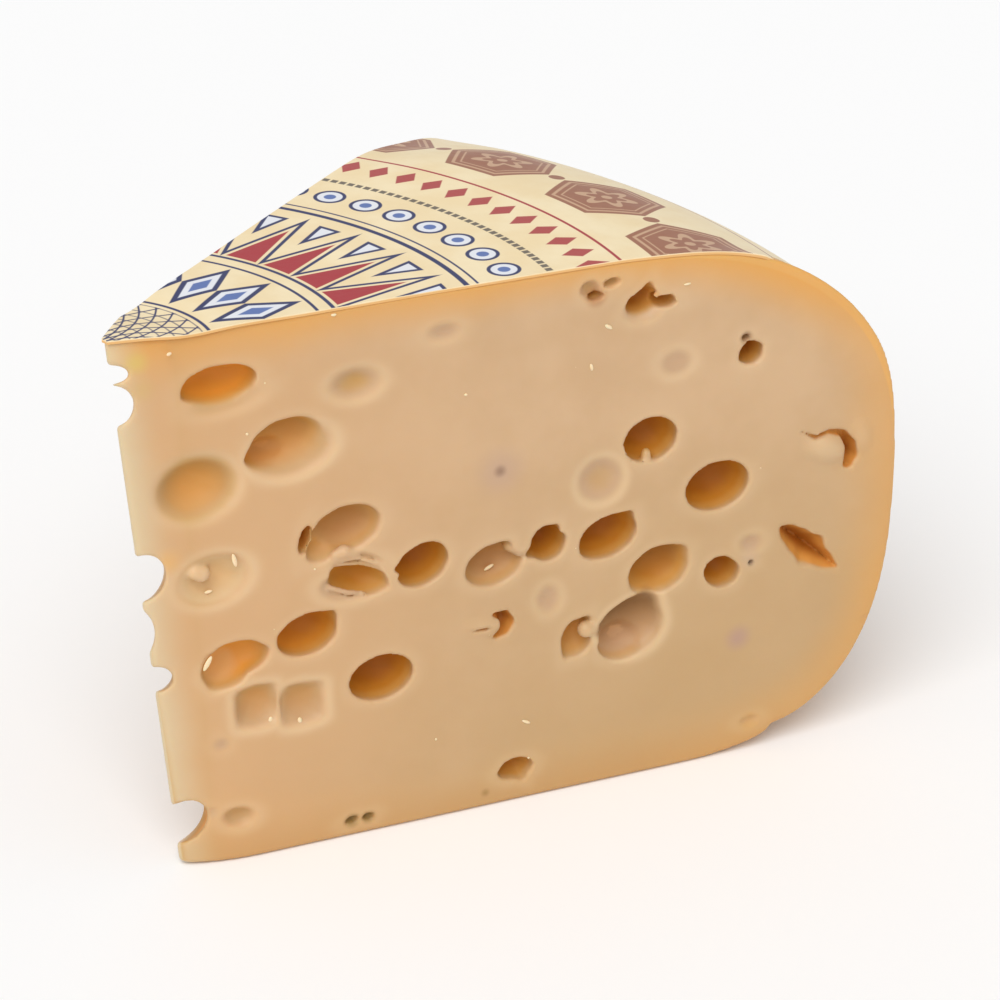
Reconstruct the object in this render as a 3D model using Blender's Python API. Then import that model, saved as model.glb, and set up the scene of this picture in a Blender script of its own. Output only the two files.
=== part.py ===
# A wedge cut from a round cheese with eyes, under a thin printed skin that covers the top of the
# round and turns down over its shoulder. Metres, +Z up. The tip points along -X and the rind end
# along +X. The origin is on the resting surface, under the middle of the wedge's outer box.

import math
import random

import bmesh
import bpy
from mathutils import Matrix, Vector

MM = 0.001

# The round that the wedge was cut from, as a turned outline
ROUND_RADIUS = 150.0 * MM
CHEESE_HEIGHT = 101.3 * MM
BELLY_HEIGHT = 53.4 * MM        # the level where the round is widest
UPPER_SHOULDER = 58.4 * MM      # how far in the upper shoulder reaches
UPPER_FULLNESS = 2.31           # exponent of the shoulder's curve, 2 is an ellipse
LOWER_SHOULDER = 47.4 * MM
LOWER_FULLNESS = 2.83
CREASE_RADIUS = 127.0 * MM      # shallow crease left round the foot by the mould
CREASE_DEPTH = 0.9 * MM
CREASE_WIDTH = 2.4 * MM
SHOULDER_STEPS = 13
TURN_FROM = -12.0               # degrees, with the front cut at 0
TURN_TO = 62.0
TURN_STEPS = 19
CORE_RADIUS = 2.5 * MM          # where the turned outline starts, inside the cut-off tip

# The printed skin
SKIN_THICKNESS = 0.5 * MM
SKIN_GAP = 0.3 * MM
SKIN_FOOT = 76.0 * MM           # how far down the rind end it reaches

# The two cuts, seen from above with the round's axis at 0, 0 and the front cut along +X.
# Each is the tip's front corner, its point and its back corner, at the top and at the foot.
CUT_ANGLE = 40.7
TIP_AT_TOP = ((15.5, 0.0), (3.4, 1.2), (9.8, 10.5))
TIP_AT_FOOT = ((19.0, 0.0), (12.4, 2.4), (15.6, 7.8))
TIP_ROUNDING = 1.2 * MM
ROUNDING_STEPS = 4
KNIFE_REACH = 190.0 * MM
KNIFE_SPARE = 5.0 * MM

# Eyes of the front cut: along the cut, height, half width, half height, lean in degrees, depth,
# and fullness, which is 0 for half a ball, near 1 for a ball behind a small mouth and
# below 0 for a dish
FRONT_EYES = (
    (22.9, 91.0, 6.4, 3.5, 0, 6.5, 0.25),
    (34.6, 78.8, 7.4, 4.6, 4, 6.0, 0.10),
    (18.4, 73.4, 6.7, 4.9, 8, 3.6, -0.35),
    (46.7, 87.4, 4.3, 2.7, 0, 1.6, -0.50),
    (20.6, 55.5, 6.0, 4.6, 10, 2.8, -0.30),
    (44.3, 60.3, 6.1, 4.6, 10, 4.6, 0.10),
    (37.2, 60.0, 1.3, 2.6, -16, 3.5, 0.20),
    (45.8, 50.8, 5.6, 3.3, -15, 6.5, 0.20),
    (58.2, 51.1, 4.7, 3.7, 20, 7.0, 0.30),
    (71.6, 48.4, 5.0, 3.9, 12, 4.4, 0.10),
    (81.8, 50.6, 3.2, 3.5, 0, 7.0, 0.30),
    (93.2, 49.6, 5.4, 4.1, 12, 7.4, 0.30),
    (101.1, 67.0, 4.9, 4.1, 0, 7.2, 0.35),
    (114.3, 55.5, 6.0, 4.7, 0, 7.8, 0.30),
    (91.6, 61.0, 4.2, 4.2, 0, 1.2, -0.60),
    (103.1, 41.0, 5.9, 4.9, 5, 5.0, 0.10),
    (98.0, 31.0, 6.6, 6.0, 10, 4.6, -0.15),
    (87.6, 30.6, 2.9, 3.6, -8, 4.2, 0.10),
    (115.6, 38.1, 3.5, 2.9, -25, 6.0, 0.30),
    (132.6, 39.8, 7.4, 2.1, -41, 5.5, 0.10),
    (139.9, 57.8, 1.3, 3.0, 12, 3.8, 0.10),
    (120.1, 80.4, 2.2, 2.0, -20, 4.4, 0.30),
    (99.6, 93.5, 3.4, 2.7, 10, 4.8, 0.10),
    (103.4, 93.0, 2.0, 1.1, -10, 3.6, 0.10),
    (37.0, 42.0, 5.3, 4.0, 5, 7.4, 0.30),
    (23.9, 38.8, 5.9, 4.5, 5, 5.0, 0.15),
    (28.2, 30.5, 4.4, 4.2, 0, 2.8, -0.30),
    (35.3, 29.3, 3.8, 4.0, 0, 2.4, -0.35),
    (50.3, 30.6, 5.5, 4.2, 0, 7.6, 0.35),
    (73.1, 36.3, 1.8, 2.3, 0, 4.0, 0.15),
    (75.5, 6.4, 3.4, 2.2, 0, 4.4, 0.20),
    (24.0, 8.5, 2.5, 1.8, -10, 1.7, -0.30),
)

# Eyes that both cuts opened at the tip, so that they notch its edge: along the front cut, height,
# half width, half height and lean. They run back and down through the tip.
TIP_EYES = (
    (4.9, 96.5, 2.7, 1.7, 0),
    (5.2, 91.6, 3.2, 3.7, -25),
    (8.5, 58.8, 3.6, 4.2, -25),
    (7.5, 48.4, 2.3, 3.8, 0),
    (10.1, 39.0, 2.5, 2.2, 0),
    (13.4, 10.1, 4.6, 3.6, 38),
)
TIP_EYE_RUN = (0.287, 1.0, -0.471)
TIP_EYE_CENTRE = 6.2                # how far along their run the middle lies
TIP_EYE_REACH = 15.0

# Eyes of the back cut, which follow a rule
BACK_EYE_COUNT = 27
BACK_EYE_SIZES = (2.2, 6.3, 4.6)    # smallest, largest and usual half width
BACK_EYE_FLATNESS = (0.7, 0.95)     # half height for each half width
BACK_EYE_FULLNESS = (-0.45, 0.4)
BACK_EYE_DEPTH = (0.35, 1.3)        # depth for each half width, from the flattest to the fullest
BACK_EYE_SPACING = 2.6
BACK_EYE_MARGIN = 5.0
BACK_ALONG = (9.0, 130.0)          # past the tip's back corner
SEED = 11

EYE_SIDES = 16
EYE_RINGS = 7                       # an odd number keeps a ring off the cut's own plane
EYE_UNEVENNESS = 0.06

CHEESE_COLOUR = (0.62, 0.41, 0.22)
CHEESE_ROUGHNESS = 0.5
SKIN_COLOUR = (0.87, 0.72, 0.49)
SKIN_ROUGHNESS = 0.45
SHARP_ANGLE = 30.0


def clear_scene():
    for obj in list(bpy.data.objects):
        bpy.data.objects.remove(obj, do_unlink=True)


def material(name, colour, roughness):
    finish = bpy.data.materials.new(name)
    finish.use_nodes = True
    shader = finish.node_tree.nodes["Principled BSDF"]
    shader.inputs["Base Color"].default_value = (*colour, 1.0)
    shader.inputs["Roughness"].default_value = roughness
    return finish


def mesh_object(name, bm):
    # The closed shape gets its faces turned outwards, which the sign of its volume tells
    bmesh.ops.recalc_face_normals(bm, faces=bm.faces)
    if bm.calc_volume(signed=True) < 0:
        bmesh.ops.reverse_faces(bm, faces=bm.faces)
    mesh = bpy.data.meshes.new(name)
    bm.to_mesh(mesh)
    bm.free()
    obj = bpy.data.objects.new(name, mesh)
    bpy.context.scene.collection.objects.link(obj)
    return obj


# Outline of the round

def quarter(shoulder, rise, fullness, angle):
    # A point on a rounded shoulder, as its reach beyond the shoulder's start and its height
    # above the belly, with the outward direction there
    across = max(math.cos(angle), 0.0) ** (2 / fullness)
    up = max(math.sin(angle), 0.0) ** (2 / fullness)
    normal = Vector((across ** (fullness - 1) / shoulder, up ** (fullness - 1) / rise))
    return shoulder * across, rise * up, normal.normalized()


def crease(radius):
    return CREASE_DEPTH * math.exp(-((radius - CREASE_RADIUS) / CREASE_WIDTH) ** 2)


def lower_outline():
    start = ROUND_RADIUS - LOWER_SHOULDER
    points = [(CORE_RADIUS, 0.0)]
    for step in range(SHOULDER_STEPS + 1):
        angle = math.pi / 2 * (1 - step / SHOULDER_STEPS)
        reach, drop, _ = quarter(LOWER_SHOULDER, BELLY_HEIGHT, LOWER_FULLNESS, angle)
        radius = start + reach
        points.append((radius, BELLY_HEIGHT - drop + crease(radius)))
    return points


def upper_outline(offset=0.0, lowest=0.0):
    # From the belly, or from the height given, up to the axis
    start = ROUND_RADIUS - UPPER_SHOULDER
    rise = CHEESE_HEIGHT - BELLY_HEIGHT
    first = math.asin(max(0.0, (lowest - BELLY_HEIGHT) / rise) ** (UPPER_FULLNESS / 2))
    points = []
    for step in range(SHOULDER_STEPS + 1):
        angle = first + (math.pi / 2 - first) * step / SHOULDER_STEPS
        reach, height, normal = quarter(UPPER_SHOULDER, rise, UPPER_FULLNESS, angle)
        points.append((start + reach + normal.x * offset, BELLY_HEIGHT + height + normal.y * offset))
    points.append((CORE_RADIUS, CHEESE_HEIGHT + offset))
    return points


def turned_sector(name, outline):
    # The closed outline turned about the axis, a little past both cuts
    bm = bmesh.new()
    ring = [bm.verts.new((radius, 0.0, height)) for radius, height in outline]
    start = Matrix.Rotation(math.radians(TURN_FROM), 3, "Z")
    bmesh.ops.rotate(bm, verts=ring, cent=(0, 0, 0), matrix=start)
    face = bm.faces.new(ring)
    bmesh.ops.spin(
        bm,
        geom=[face] + list(face.edges) + list(face.verts),
        cent=(0, 0, 0),
        axis=(0, 0, 1),
        angle=math.radians(TURN_TO - TURN_FROM),
        steps=TURN_STEPS,
    )
    return mesh_object(name, bm)


# The two cuts

def fillet(before, corner, after, radius):
    # Points of an arc that rounds a corner of a flat outline
    back = (before - corner).normalized()
    ahead = (after - corner).normalized()
    half = back.angle(ahead) / 2
    centre = corner + (back + ahead).normalized() * (radius / math.sin(half))
    start = corner + back * (radius / math.tan(half)) - centre
    turn = start.angle_signed(corner + ahead * (radius / math.tan(half)) - centre)
    arc = []
    for step in range(ROUNDING_STEPS + 1):
        arc.append(centre + Matrix.Rotation(-turn * step / ROUNDING_STEPS, 2) @ start)
    return arc


def knife_outline(tip):
    corners = [Vector(point) * MM for point in tip]
    back = Vector((math.cos(math.radians(CUT_ANGLE)), math.sin(math.radians(CUT_ANGLE))))
    outline = [Vector((KNIFE_REACH, 0.0))] + corners + [corners[-1] + back * KNIFE_REACH]
    rounded = [outline[0]]
    for index in range(1, len(outline) - 1):
        rounded += fillet(outline[index - 1], outline[index], outline[index + 1], TIP_ROUNDING)
    return rounded + [outline[-1]]


def knife_block():
    # What stays of the round: the space between the two cuts, a little past its top and foot
    top = knife_outline(TIP_AT_TOP)
    foot = knife_outline(TIP_AT_FOOT)
    bm = bmesh.new()
    rings = []
    for height in (-KNIFE_SPARE, CHEESE_HEIGHT + KNIFE_SPARE):
        share = height / CHEESE_HEIGHT
        rings.append([bm.verts.new((*low.lerp(high, share), height)) for low, high in zip(foot, top)])
    low_ring, high_ring = rings
    count = len(low_ring)
    for index in range(count):
        after = (index + 1) % count
        bm.faces.new((low_ring[index], low_ring[after], high_ring[after], high_ring[index]))
    bm.faces.new(low_ring)
    bm.faces.new(high_ring)
    return mesh_object("knife_block", bm)


# Eyes

def cut_eye(body, size, depth, fullness, place, phase):
    # A ball squashed and set back so that its mouth in the cut has the half sizes given
    half_width, half_height = size
    reach = depth / (1 + fullness)
    spread = 1 / math.sqrt(1 - fullness ** 2)
    bm = bmesh.new()
    bmesh.ops.create_uvsphere(bm, u_segments=EYE_SIDES, v_segments=EYE_RINGS, radius=1.0)
    for vert in bm.verts:
        x, y, z = vert.co
        swell = spread * (1 + EYE_UNEVENNESS * math.sin(2 * math.atan2(y, x) + phase))
        vert.co = Vector((x * half_width * swell, (z + fullness) * reach, y * half_height * swell)) * MM
    cutter = mesh_object("eye_cutter", bm)
    cutter.matrix_world = place
    boolean(body, "DIFFERENCE", cutter)


def front_place(along, height, lean):
    return Matrix.Translation(Vector((along, 0.0, height)) * MM) @ Matrix.Rotation(-math.radians(lean), 4, "Y")


def tip_place(along, height, lean):
    run = Vector(TIP_EYE_RUN)
    start = Vector((along, 0.0, height)) + run * TIP_EYE_CENTRE
    aim = run.to_track_quat("Y", "Z").to_matrix().to_4x4()
    return Matrix.Translation(start * MM) @ aim @ Matrix.Rotation(-math.radians(lean), 4, "Y")


def back_spot(along, height):
    # A spot of the back cut, in millimetres, from its distance past the tip's back corner
    corner = Vector(TIP_AT_FOOT[-1]).lerp(Vector(TIP_AT_TOP[-1]), height * MM / CHEESE_HEIGHT)
    turn = math.radians(CUT_ANGLE)
    return Vector((corner.x + along * math.cos(turn), corner.y + along * math.sin(turn), height))


def back_place(along, height, lean):
    facing = Matrix.Rotation(math.radians(CUT_ANGLE) + math.pi, 4, "Z")
    leaning = Matrix.Rotation(-math.radians(lean), 4, "Y")
    return Matrix.Translation(back_spot(along, height) * MM) @ facing @ leaning


def inside_outline(radius, height, margin):
    # Whether a spot this far from the axis is at least the margin inside the round's outline
    if height < BELLY_HEIGHT / MM:
        shoulder, rise, fullness = LOWER_SHOULDER, BELLY_HEIGHT, LOWER_FULLNESS
    else:
        shoulder, rise, fullness = UPPER_SHOULDER, CHEESE_HEIGHT - BELLY_HEIGHT, UPPER_FULLNESS
    reach = max(0.0, radius + margin - (ROUND_RADIUS - shoulder) / MM) / (shoulder / MM)
    drop = (abs(height - BELLY_HEIGHT / MM) + margin) / (rise / MM)
    return reach ** fullness + drop ** fullness < 1


def back_eyes(draw):
    # Spots drawn at random, kept where they clear the outline and one another
    smallest, largest, usual = BACK_EYE_SIZES
    taken = []
    while len(taken) < BACK_EYE_COUNT:
        half_width = draw.triangular(smallest, largest, usual)
        along = draw.uniform(*BACK_ALONG)
        height = draw.uniform(0.0, CHEESE_HEIGHT / MM)
        radius = back_spot(along, height).xy.length
        if not inside_outline(radius, height, half_width + BACK_EYE_MARGIN):
            continue
        gaps = (math.hypot(along - other[0], height - other[1]) - other[2] for other in taken)
        if all(gap > half_width + BACK_EYE_SPACING for gap in gaps):
            taken.append((along, height, half_width))
    return taken


def cut_eyes(body):
    draw = random.Random(SEED)
    for along, height, half_width, half_height, lean, depth, fullness in FRONT_EYES:
        place = front_place(along, height, lean)
        phase = draw.uniform(0, math.tau)
        cut_eye(body, (half_width, half_height), depth, fullness, place, phase)
    for along, height, half_width in back_eyes(draw):
        share = draw.random()
        fullness = BACK_EYE_FULLNESS[0] + share * (BACK_EYE_FULLNESS[1] - BACK_EYE_FULLNESS[0])
        depth = half_width * (BACK_EYE_DEPTH[0] + share * (BACK_EYE_DEPTH[1] - BACK_EYE_DEPTH[0]))
        size = (half_width, half_width * draw.uniform(*BACK_EYE_FLATNESS))
        place = back_place(along, height, draw.uniform(-20, 20))
        cut_eye(body, size, depth, fullness, place, draw.uniform(0, math.tau))
    for along, height, half_width, half_height, lean in TIP_EYES:
        phase = draw.uniform(0, math.tau)
        cut_eye(body, (half_width, half_height), TIP_EYE_REACH, 0.0, tip_place(along, height, lean), phase)


# Cutting and cleaning

def boolean(target, operation, other):
    # Applied at once, and the other shape is used up
    modifier = target.modifiers.new(operation.lower(), "BOOLEAN")
    modifier.operation = operation
    modifier.solver = "EXACT"
    modifier.object = other
    evaluated = target.evaluated_get(bpy.context.evaluated_depsgraph_get())
    old = target.data
    target.data = bpy.data.meshes.new_from_object(evaluated)
    target.modifiers.clear()
    bpy.data.meshes.remove(old)
    bpy.data.objects.remove(other)


def drop_scraps(bm):
    # Keeps the largest body, counting faces as joined where they share an edge
    bodies = []
    unseen = set(bm.faces)
    while unseen:
        front = [unseen.pop()]
        body = list(front)
        while front:
            for edge in front.pop().edges:
                fresh = [face for face in edge.link_faces if face in unseen]
                unseen.difference_update(fresh)
                front += fresh
                body += fresh
        bodies.append(body)
    largest = max(bodies, key=len)
    scraps = [face for body in bodies if body is not largest for face in body]
    bmesh.ops.delete(bm, geom=scraps, context="FACES")


def clean_mesh(obj):
    bm = bmesh.new()
    bm.from_mesh(obj.data)
    drop_scraps(bm)
    bmesh.ops.triangulate(bm, faces=bm.faces)
    bm.to_mesh(obj.data)
    bm.free()


def finish_node(obj, finish):
    clean_mesh(obj)
    obj.data.materials.clear()
    obj.data.materials.append(finish)
    obj.data.shade_smooth()
    obj.data.set_sharp_from_angle(angle=math.radians(SHARP_ANGLE))


def make_cheese():
    cheese = turned_sector("cheese", lower_outline() + upper_outline()[1:])
    boolean(cheese, "INTERSECT", knife_block())
    cut_eyes(cheese)
    finish_node(cheese, material("cheese_paste", CHEESE_COLOUR, CHEESE_ROUGHNESS))
    return cheese


def make_label():
    under = upper_outline(SKIN_GAP, SKIN_FOOT)
    over = upper_outline(SKIN_GAP + SKIN_THICKNESS, SKIN_FOOT)
    label = turned_sector("label", over + under[::-1])
    boolean(label, "INTERSECT", knife_block())
    finish_node(label, material("printed_skin", SKIN_COLOUR, SKIN_ROUGHNESS))
    return label


def stand_on_origin(nodes):
    # Turns the wedge so that it points along -X, and puts the middle of its box over the origin
    frame = bpy.data.objects.new("round_axis", None)
    bpy.context.scene.collection.objects.link(frame)
    frame.rotation_euler.z = -math.radians(CUT_ANGLE) / 2
    for node in nodes:
        node.parent = frame
    bpy.context.view_layer.update()
    spots = [node.matrix_world @ vert.co for node in nodes for vert in node.data.vertices]
    lows = [min(spot[axis] for spot in spots) for axis in range(3)]
    highs = [max(spot[axis] for spot in spots) for axis in range(3)]
    frame.location = (-(lows[0] + highs[0]) / 2, -(lows[1] + highs[1]) / 2, -lows[2])
    print("round axis at", [round(value / MM, 3) for value in frame.location])


def main():
    clear_scene()
    stand_on_origin([make_cheese(), make_label()])


main()
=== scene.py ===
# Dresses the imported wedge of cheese: the paste with its eyes, the printed skin and the crumbs.
# Shapes are worked out in millimetres in the cut's own frame: the round's axis stands at 0, 0,
# the front cut lies along +X in the plane y = 0, and the foot is at height 0.

import math
import random

import bmesh
import bpy
import numpy as np
from mathutils import Matrix, Vector


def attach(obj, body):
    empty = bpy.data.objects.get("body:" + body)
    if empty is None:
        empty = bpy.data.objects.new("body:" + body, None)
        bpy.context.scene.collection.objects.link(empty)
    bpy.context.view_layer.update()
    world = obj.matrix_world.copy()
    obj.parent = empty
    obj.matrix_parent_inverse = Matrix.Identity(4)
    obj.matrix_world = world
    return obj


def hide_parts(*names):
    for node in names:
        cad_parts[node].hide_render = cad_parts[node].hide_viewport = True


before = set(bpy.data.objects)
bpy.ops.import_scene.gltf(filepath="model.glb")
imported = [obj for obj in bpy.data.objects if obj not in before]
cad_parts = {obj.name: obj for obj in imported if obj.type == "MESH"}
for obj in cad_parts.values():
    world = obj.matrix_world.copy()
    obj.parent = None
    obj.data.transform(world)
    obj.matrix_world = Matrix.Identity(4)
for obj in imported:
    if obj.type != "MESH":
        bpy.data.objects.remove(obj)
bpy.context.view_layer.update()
print("frame loaded:", ", ".join(sorted(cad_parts)))

metresPerMm = 0.001

# Where the round's axis stands in the part's frame, and how far the wedge is turned there
axisSpot = (-77.331, 0.424)
wedgeTurn = -20.35


def cutFrameMatrix():
    # From the cut's frame in millimetres to the part's frame in metres
    place = Matrix.Translation((*axisSpot, 0.0)) @ Matrix.Rotation(math.radians(wedgeTurn), 4, "Z")
    return Matrix.Scale(metresPerMm, 4) @ place


# The outline of the round and the two cuts

cheeseRound = {
    "radius": 149.85,
    "height": 101.7,
    "bellyHeight": 53.4,            # the level where the round is widest
    "upperShoulder": 58.4,          # how far in each shoulder reaches
    "upperFullness": 2.31,          # exponent of the shoulder's curve, 2 is an ellipse
    "lowerShoulder": 47.4,
    "lowerFullness": 2.83,
    "creaseRadius": 126.7,          # crease left round the foot by the mould
    "creaseDepth": 1.2,
    "creaseWidth": 2.6,
    "creaseInner": 0.35,            # shares of that width: a sharp inner side and a soft outer one
    "creaseOuter": 1.6,
    "creaseStrength": 1.2,          # how strong it is at the foot, and how high up it is gone
    "creaseFade": 25.0,
    "footRise": 0.5,                # the foot lifts a little towards the tip
    "footRiseRadius": 12.0,
    "footRiseWidth": 6.5,
    "footRounding": 0.4,
    "dipsFrom": 60.0,               # the shoulder follows the dips of the top from this height on
    "dipsOver": 30.0,
}

wedgeCuts = {
    "angle": 40.7,
    # front corner, point and back corner of the blunt tip, at the top and at the foot
    "tipAtTop": ((15.5, 0.0), (3.4, 1.2), (9.8, 10.5)),
    "tipAtFoot": ((19.0, 0.0), (12.4, 2.4), (15.6, 7.8)),
    "loftHeight": 101.3,            # the level of the upper set
    "cornerRoundings": (3.2, 2.4, 0.6),
    "edgeRounding": 0.7,
    "waveHeight": 0.10,             # how uneven the knife left the cuts
    "waveLength": 34.0,
    "waveStretch": (0.5, 1.3),      # the shortest and the longest wave, as shares of that length
    "waveCount": 5,
    "waveSeeds": (3, 4),            # for the front cut and the back cut
}

# How far the top has sunk: radius, angle, depth, spread over the radius and over the angle
topDips = (
    (18.5, None, 0.55, 6.0, None),
    (38.0, None, 0.15, 14.0, None),
    (112.0, 41.0, 1.4, 13.0, 5.0),
)

# The knife left the shoulder standing higher at the front cut
swell = {
    "rise": 1.45,
    "angleSpread": 2.2,             # it fades over this many degrees from the cut
    "startRadius": 98.0,
    "fullRadius": 127.0,
    "lowest": 58.0,
    "fullHeight": 80.0,
}

# Eyes of the front cut: name, place along the cut, height, half width, half height, lean in
# degrees, depth, fullness (0 is half a ball, near 1 a ball behind a small mouth, below 0 a dish)
# and how softly the rim is rounded
frontEyes = (
    ("domed", 23.2, 91.3, 6.2, 3.2, 3, 6.5, 0.25, 0.6),
    ("domedLip", 24.2, 88.4, 5.4, 1.9, 8, 1.3, -0.50, 2.0),
    ("lopsided", 34.2, 78.9, 6.3, 4.2, 12, 4.4, 0.05, 0.7),
    ("lopsidedPocket", 31.5, 77.0, 4.5, 2.4, 4, 5.6, 0.15, 0.6),
    ("lopsidedLip", 35.1, 77.2, 7.2, 4.6, 6, 2.6, -0.20, 1.6),
    ("softDish", 18.3, 72.9, 7.0, 5.4, 10, 3.8, -0.30, 2.8),
    ("faintTop", 46.7, 87.4, 4.3, 2.7, 0, 1.6, -0.50, 1.6),
    ("bumpDish", 20.6, 55.6, 6.3, 4.6, 10, 2.6, -0.30, 1.4),
    ("upperTorn", 44.4, 60.7, 6.2, 4.2, 12, 4.6, 0.10, 0.8),
    ("slit", 37.1, 60.0, 1.1, 2.6, -16, 4.5, 0.25, 0.2),
    ("lowerTorn", 46.4, 50.4, 5.3, 3.1, -16, 4.8, 0.15, 0.3),
    ("lowerTornLip", 43.8, 49.6, 4.4, 2.6, -12, 1.6, -0.40, 0.8),
    ("tornLobe", 40.3, 57.8, 3.3, 2.3, 28, 3.2, 0.00, 0.5),
    ("tornShelf", 46.2, 53.9, 5.2, 2.1, -17, 1.5, -0.20, 0.4),
    ("notched", 58.2, 51.1, 4.8, 3.8, 24, 7.0, 0.30, 0.5),
    ("flapped", 71.6, 48.4, 5.4, 3.9, 14, 4.4, 0.10, 0.7),
    ("cornered", 81.8, 50.6, 3.2, 3.4, 0, 7.0, 0.30, 0.3),
    ("ridged", 93.2, 49.6, 5.4, 3.9, 16, 7.4, 0.30, 0.4),
    ("clearTop", 101.1, 67.0, 4.9, 4.1, 6, 7.2, 0.35, 0.4),
    ("clearRight", 114.3, 55.5, 6.0, 4.6, 6, 7.8, 0.30, 0.4),
    ("faintMiddle", 91.6, 61.0, 4.2, 4.2, 0, 1.2, -0.60, 1.4),
    ("squarish", 103.1, 41.1, 5.7, 4.6, 8, 5.0, 0.10, 0.6),
    ("pear", 98.0, 30.7, 6.3, 5.9, 10, 3.6, -0.10, 0.7),
    ("pearPocket", 96.5, 28.0, 4.9, 3.7, 4, 4.8, 0.10, 0.3),
    ("hooked", 87.4, 30.6, 2.9, 3.7, -10, 3.8, 0.10, 0.4),
    ("deepSmall", 115.6, 38.1, 3.4, 2.9, -25, 6.0, 0.30, 0.4),
    ("plum", 120.1, 80.3, 2.1, 2.1, -20, 5.4, 0.40, 0.2),
    ("plumDrop", 119.0, 83.4, 0.8, 0.7, 20, 1.6, 0.10, 0.2),
    ("heart", 99.2, 93.4, 3.2, 2.3, 14, 4.8, 0.10, 0.3),
    ("heartTail", 103.0, 92.9, 2.4, 1.2, -8, 4.0, 0.20, 0.2),
    ("heartLip", 99.0, 91.6, 3.0, 1.6, 0, 1.0, -0.50, 1.2),
    ("pairLeft", 89.2, 97.3, 1.8, 1.7, 0, 1.5, -0.20, 0.4),
    ("pairHole", 90.3, 95.8, 1.4, 0.7, 5, 3.0, 0.10, 0.2),
    ("pairRight", 93.2, 97.9, 1.6, 0.8, 8, 1.8, 0.00, 0.3),
    ("pointed", 36.9, 41.9, 5.3, 3.9, 8, 7.4, 0.30, 0.5),
    ("wet", 23.9, 38.8, 5.8, 4.2, 14, 5.0, 0.15, 0.7),
    ("wetLip", 21.6, 37.6, 3.6, 3.0, 0, 3.2, -0.10, 0.6),
    ("twinLeft", 27.7, 29.9, 4.3, 4.3, 0, 2.9, -0.30, 0.9),
    ("twinRight", 35.4, 28.6, 4.4, 4.3, 0, 2.6, -0.30, 0.9),
    ("clearLow", 50.3, 30.6, 5.7, 4.2, 6, 7.6, 0.35, 0.4),
    ("low", 75.5, 6.4, 3.3, 2.1, 4, 4.4, 0.20, 0.4),
    ("dimple", 23.4, 8.6, 3.0, 2.0, -6, 1.8, -0.30, 0.9),
    ("dimpleLeft", 18.2, 10.2, 1.5, 1.3, 0, 0.9, -0.30, 0.8),
    ("dimpleHigh", 20.8, 23.7, 1.4, 1.2, 0, 0.5, -0.40, 0.8),
    ("dotLeft", 44.2, 3.1, 1.3, 0.7, 12, 1.5, 0.10, 0.2),
    ("dotRight", 47.3, 3.1, 1.1, 0.75, 5, 1.5, 0.10, 0.2),
    ("dotFar", 121.3, 38.9, 0.5, 0.4, 0, 1.2, 0.20, 0.2),
    ("faintHigh", 62.6, 94.1, 2.7, 1.4, 0, 0.7, -0.50, 1.0),
    ("faintRing", 105.6, 81.0, 2.9, 2.3, 0, 0.35, -0.60, 0.8),
    ("faintLow", 81.8, 39.6, 2.1, 2.6, 0, 0.6, -0.60, 0.8),
    ("faintFar", 121.3, 42.8, 2.2, 1.7, 0, 0.6, -0.60, 0.8),
    ("faintHeel", 122.0, 6.0, 1.7, 1.0, 0, 0.6, -0.40, 0.6),
)

# Corners and notches of an eye's mouth: direction in degrees, how far the mouth goes out there
# or in, and over how many degrees
eyeCorners = {
    "domed": ((208, 0.9, 18), (-50, -0.5, 35)),
    "lopsided": ((212, 1.1, 22), (-40, -0.7, 40)),
    "upperTorn": ((196, -0.5, 8),),
    "lowerTorn": ((150, 0.8, 18), (-10, 0.7, 14), (240, -0.6, 14)),
    "notched": ((166, -0.6, 8), (148, 0.4, 9)),
    "flapped": ((24, -1.2, 16), (-4, 0.7, 13), (52, 0.3, 16)),
    "cornered": ((203, 1.3, 15), (36, -0.6, 12), (60, 0.3, 12)),
    "ridged": ((36, 1.2, 15), (205, 0.3, 30)),
    "squarish": ((30, 0.9, 20), (215, 0.6, 22), (125, -0.3, 30)),
    "pear": ((48, 1.7, 20), (166, 1.0, 12), (110, -0.5, 25)),
    "hooked": ((60, 0.8, 20), (240, 0.7, 20)),
    "heart": ((66, 1.6, 15), (110, -0.3, 15)),
    "heartTail": ((150, -0.4, 20), (60, 0.35, 12), (20, -0.25, 9)),
    "pointed": ((34, 1.4, 18), (120, -0.3, 30)),
    "wet": ((222, 1.1, 20), (-62, -2.1, 30), (4, 0.6, 14)),
    "twinLeft": ((140, 0.9, 20), (225, 0.9, 20), (50, 0.5, 20), (-50, 0.5, 20)),
    "twinRight": ((40, 0.9, 20), (-40, 0.9, 20), (130, 0.5, 20), (230, 0.5, 20)),
    "low": ((-72, 1.2, 14), (150, -0.3, 20)),
    "deepSmall": ((70, -0.2, 14), (25, 0.1, 14)),
    "plum": ((45, 0.25, 16), (225, 0.3, 20)),
}

# How far an eye is greyed inside, or, below 0, how strongly painted shade deepens its colour from the
# rim on
eyeTones = {
    "upperTorn": 0.5, "tornLobe": 0.4, "tornShelf": 0.3, "flapped": 0.6, "pear": 0.9,
    "pearPocket": 1.0, "twinLeft": 0.7, "twinRight": 0.75, "softDish": 0.35, "bumpDish": 0.3,
    "lopsidedLip": 0.5, "lopsided": -0.2, "hooked": 0.2, "dimple": 0.5, "wet": 0.2, "squarish": -0.3,
    "slit": -1.0, "plum": -0.9, "pairHole": -1.0, "heart": -0.9, "heartTail": -1.0, "cornered": -0.3,
    "deepSmall": -0.4,
}

# Eyes whose upper side lies in shade
eyeShades = {
    "pear": 0.8, "squarish": 0.5, "upperTorn": 0.3, "flapped": 0.35, "lopsided": 0.35, "softDish": 0.25,
}

# Eyes with waxy pale insides
eyePales = {"bumpDish": 0.6, "wetLip": 0.3}

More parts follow.
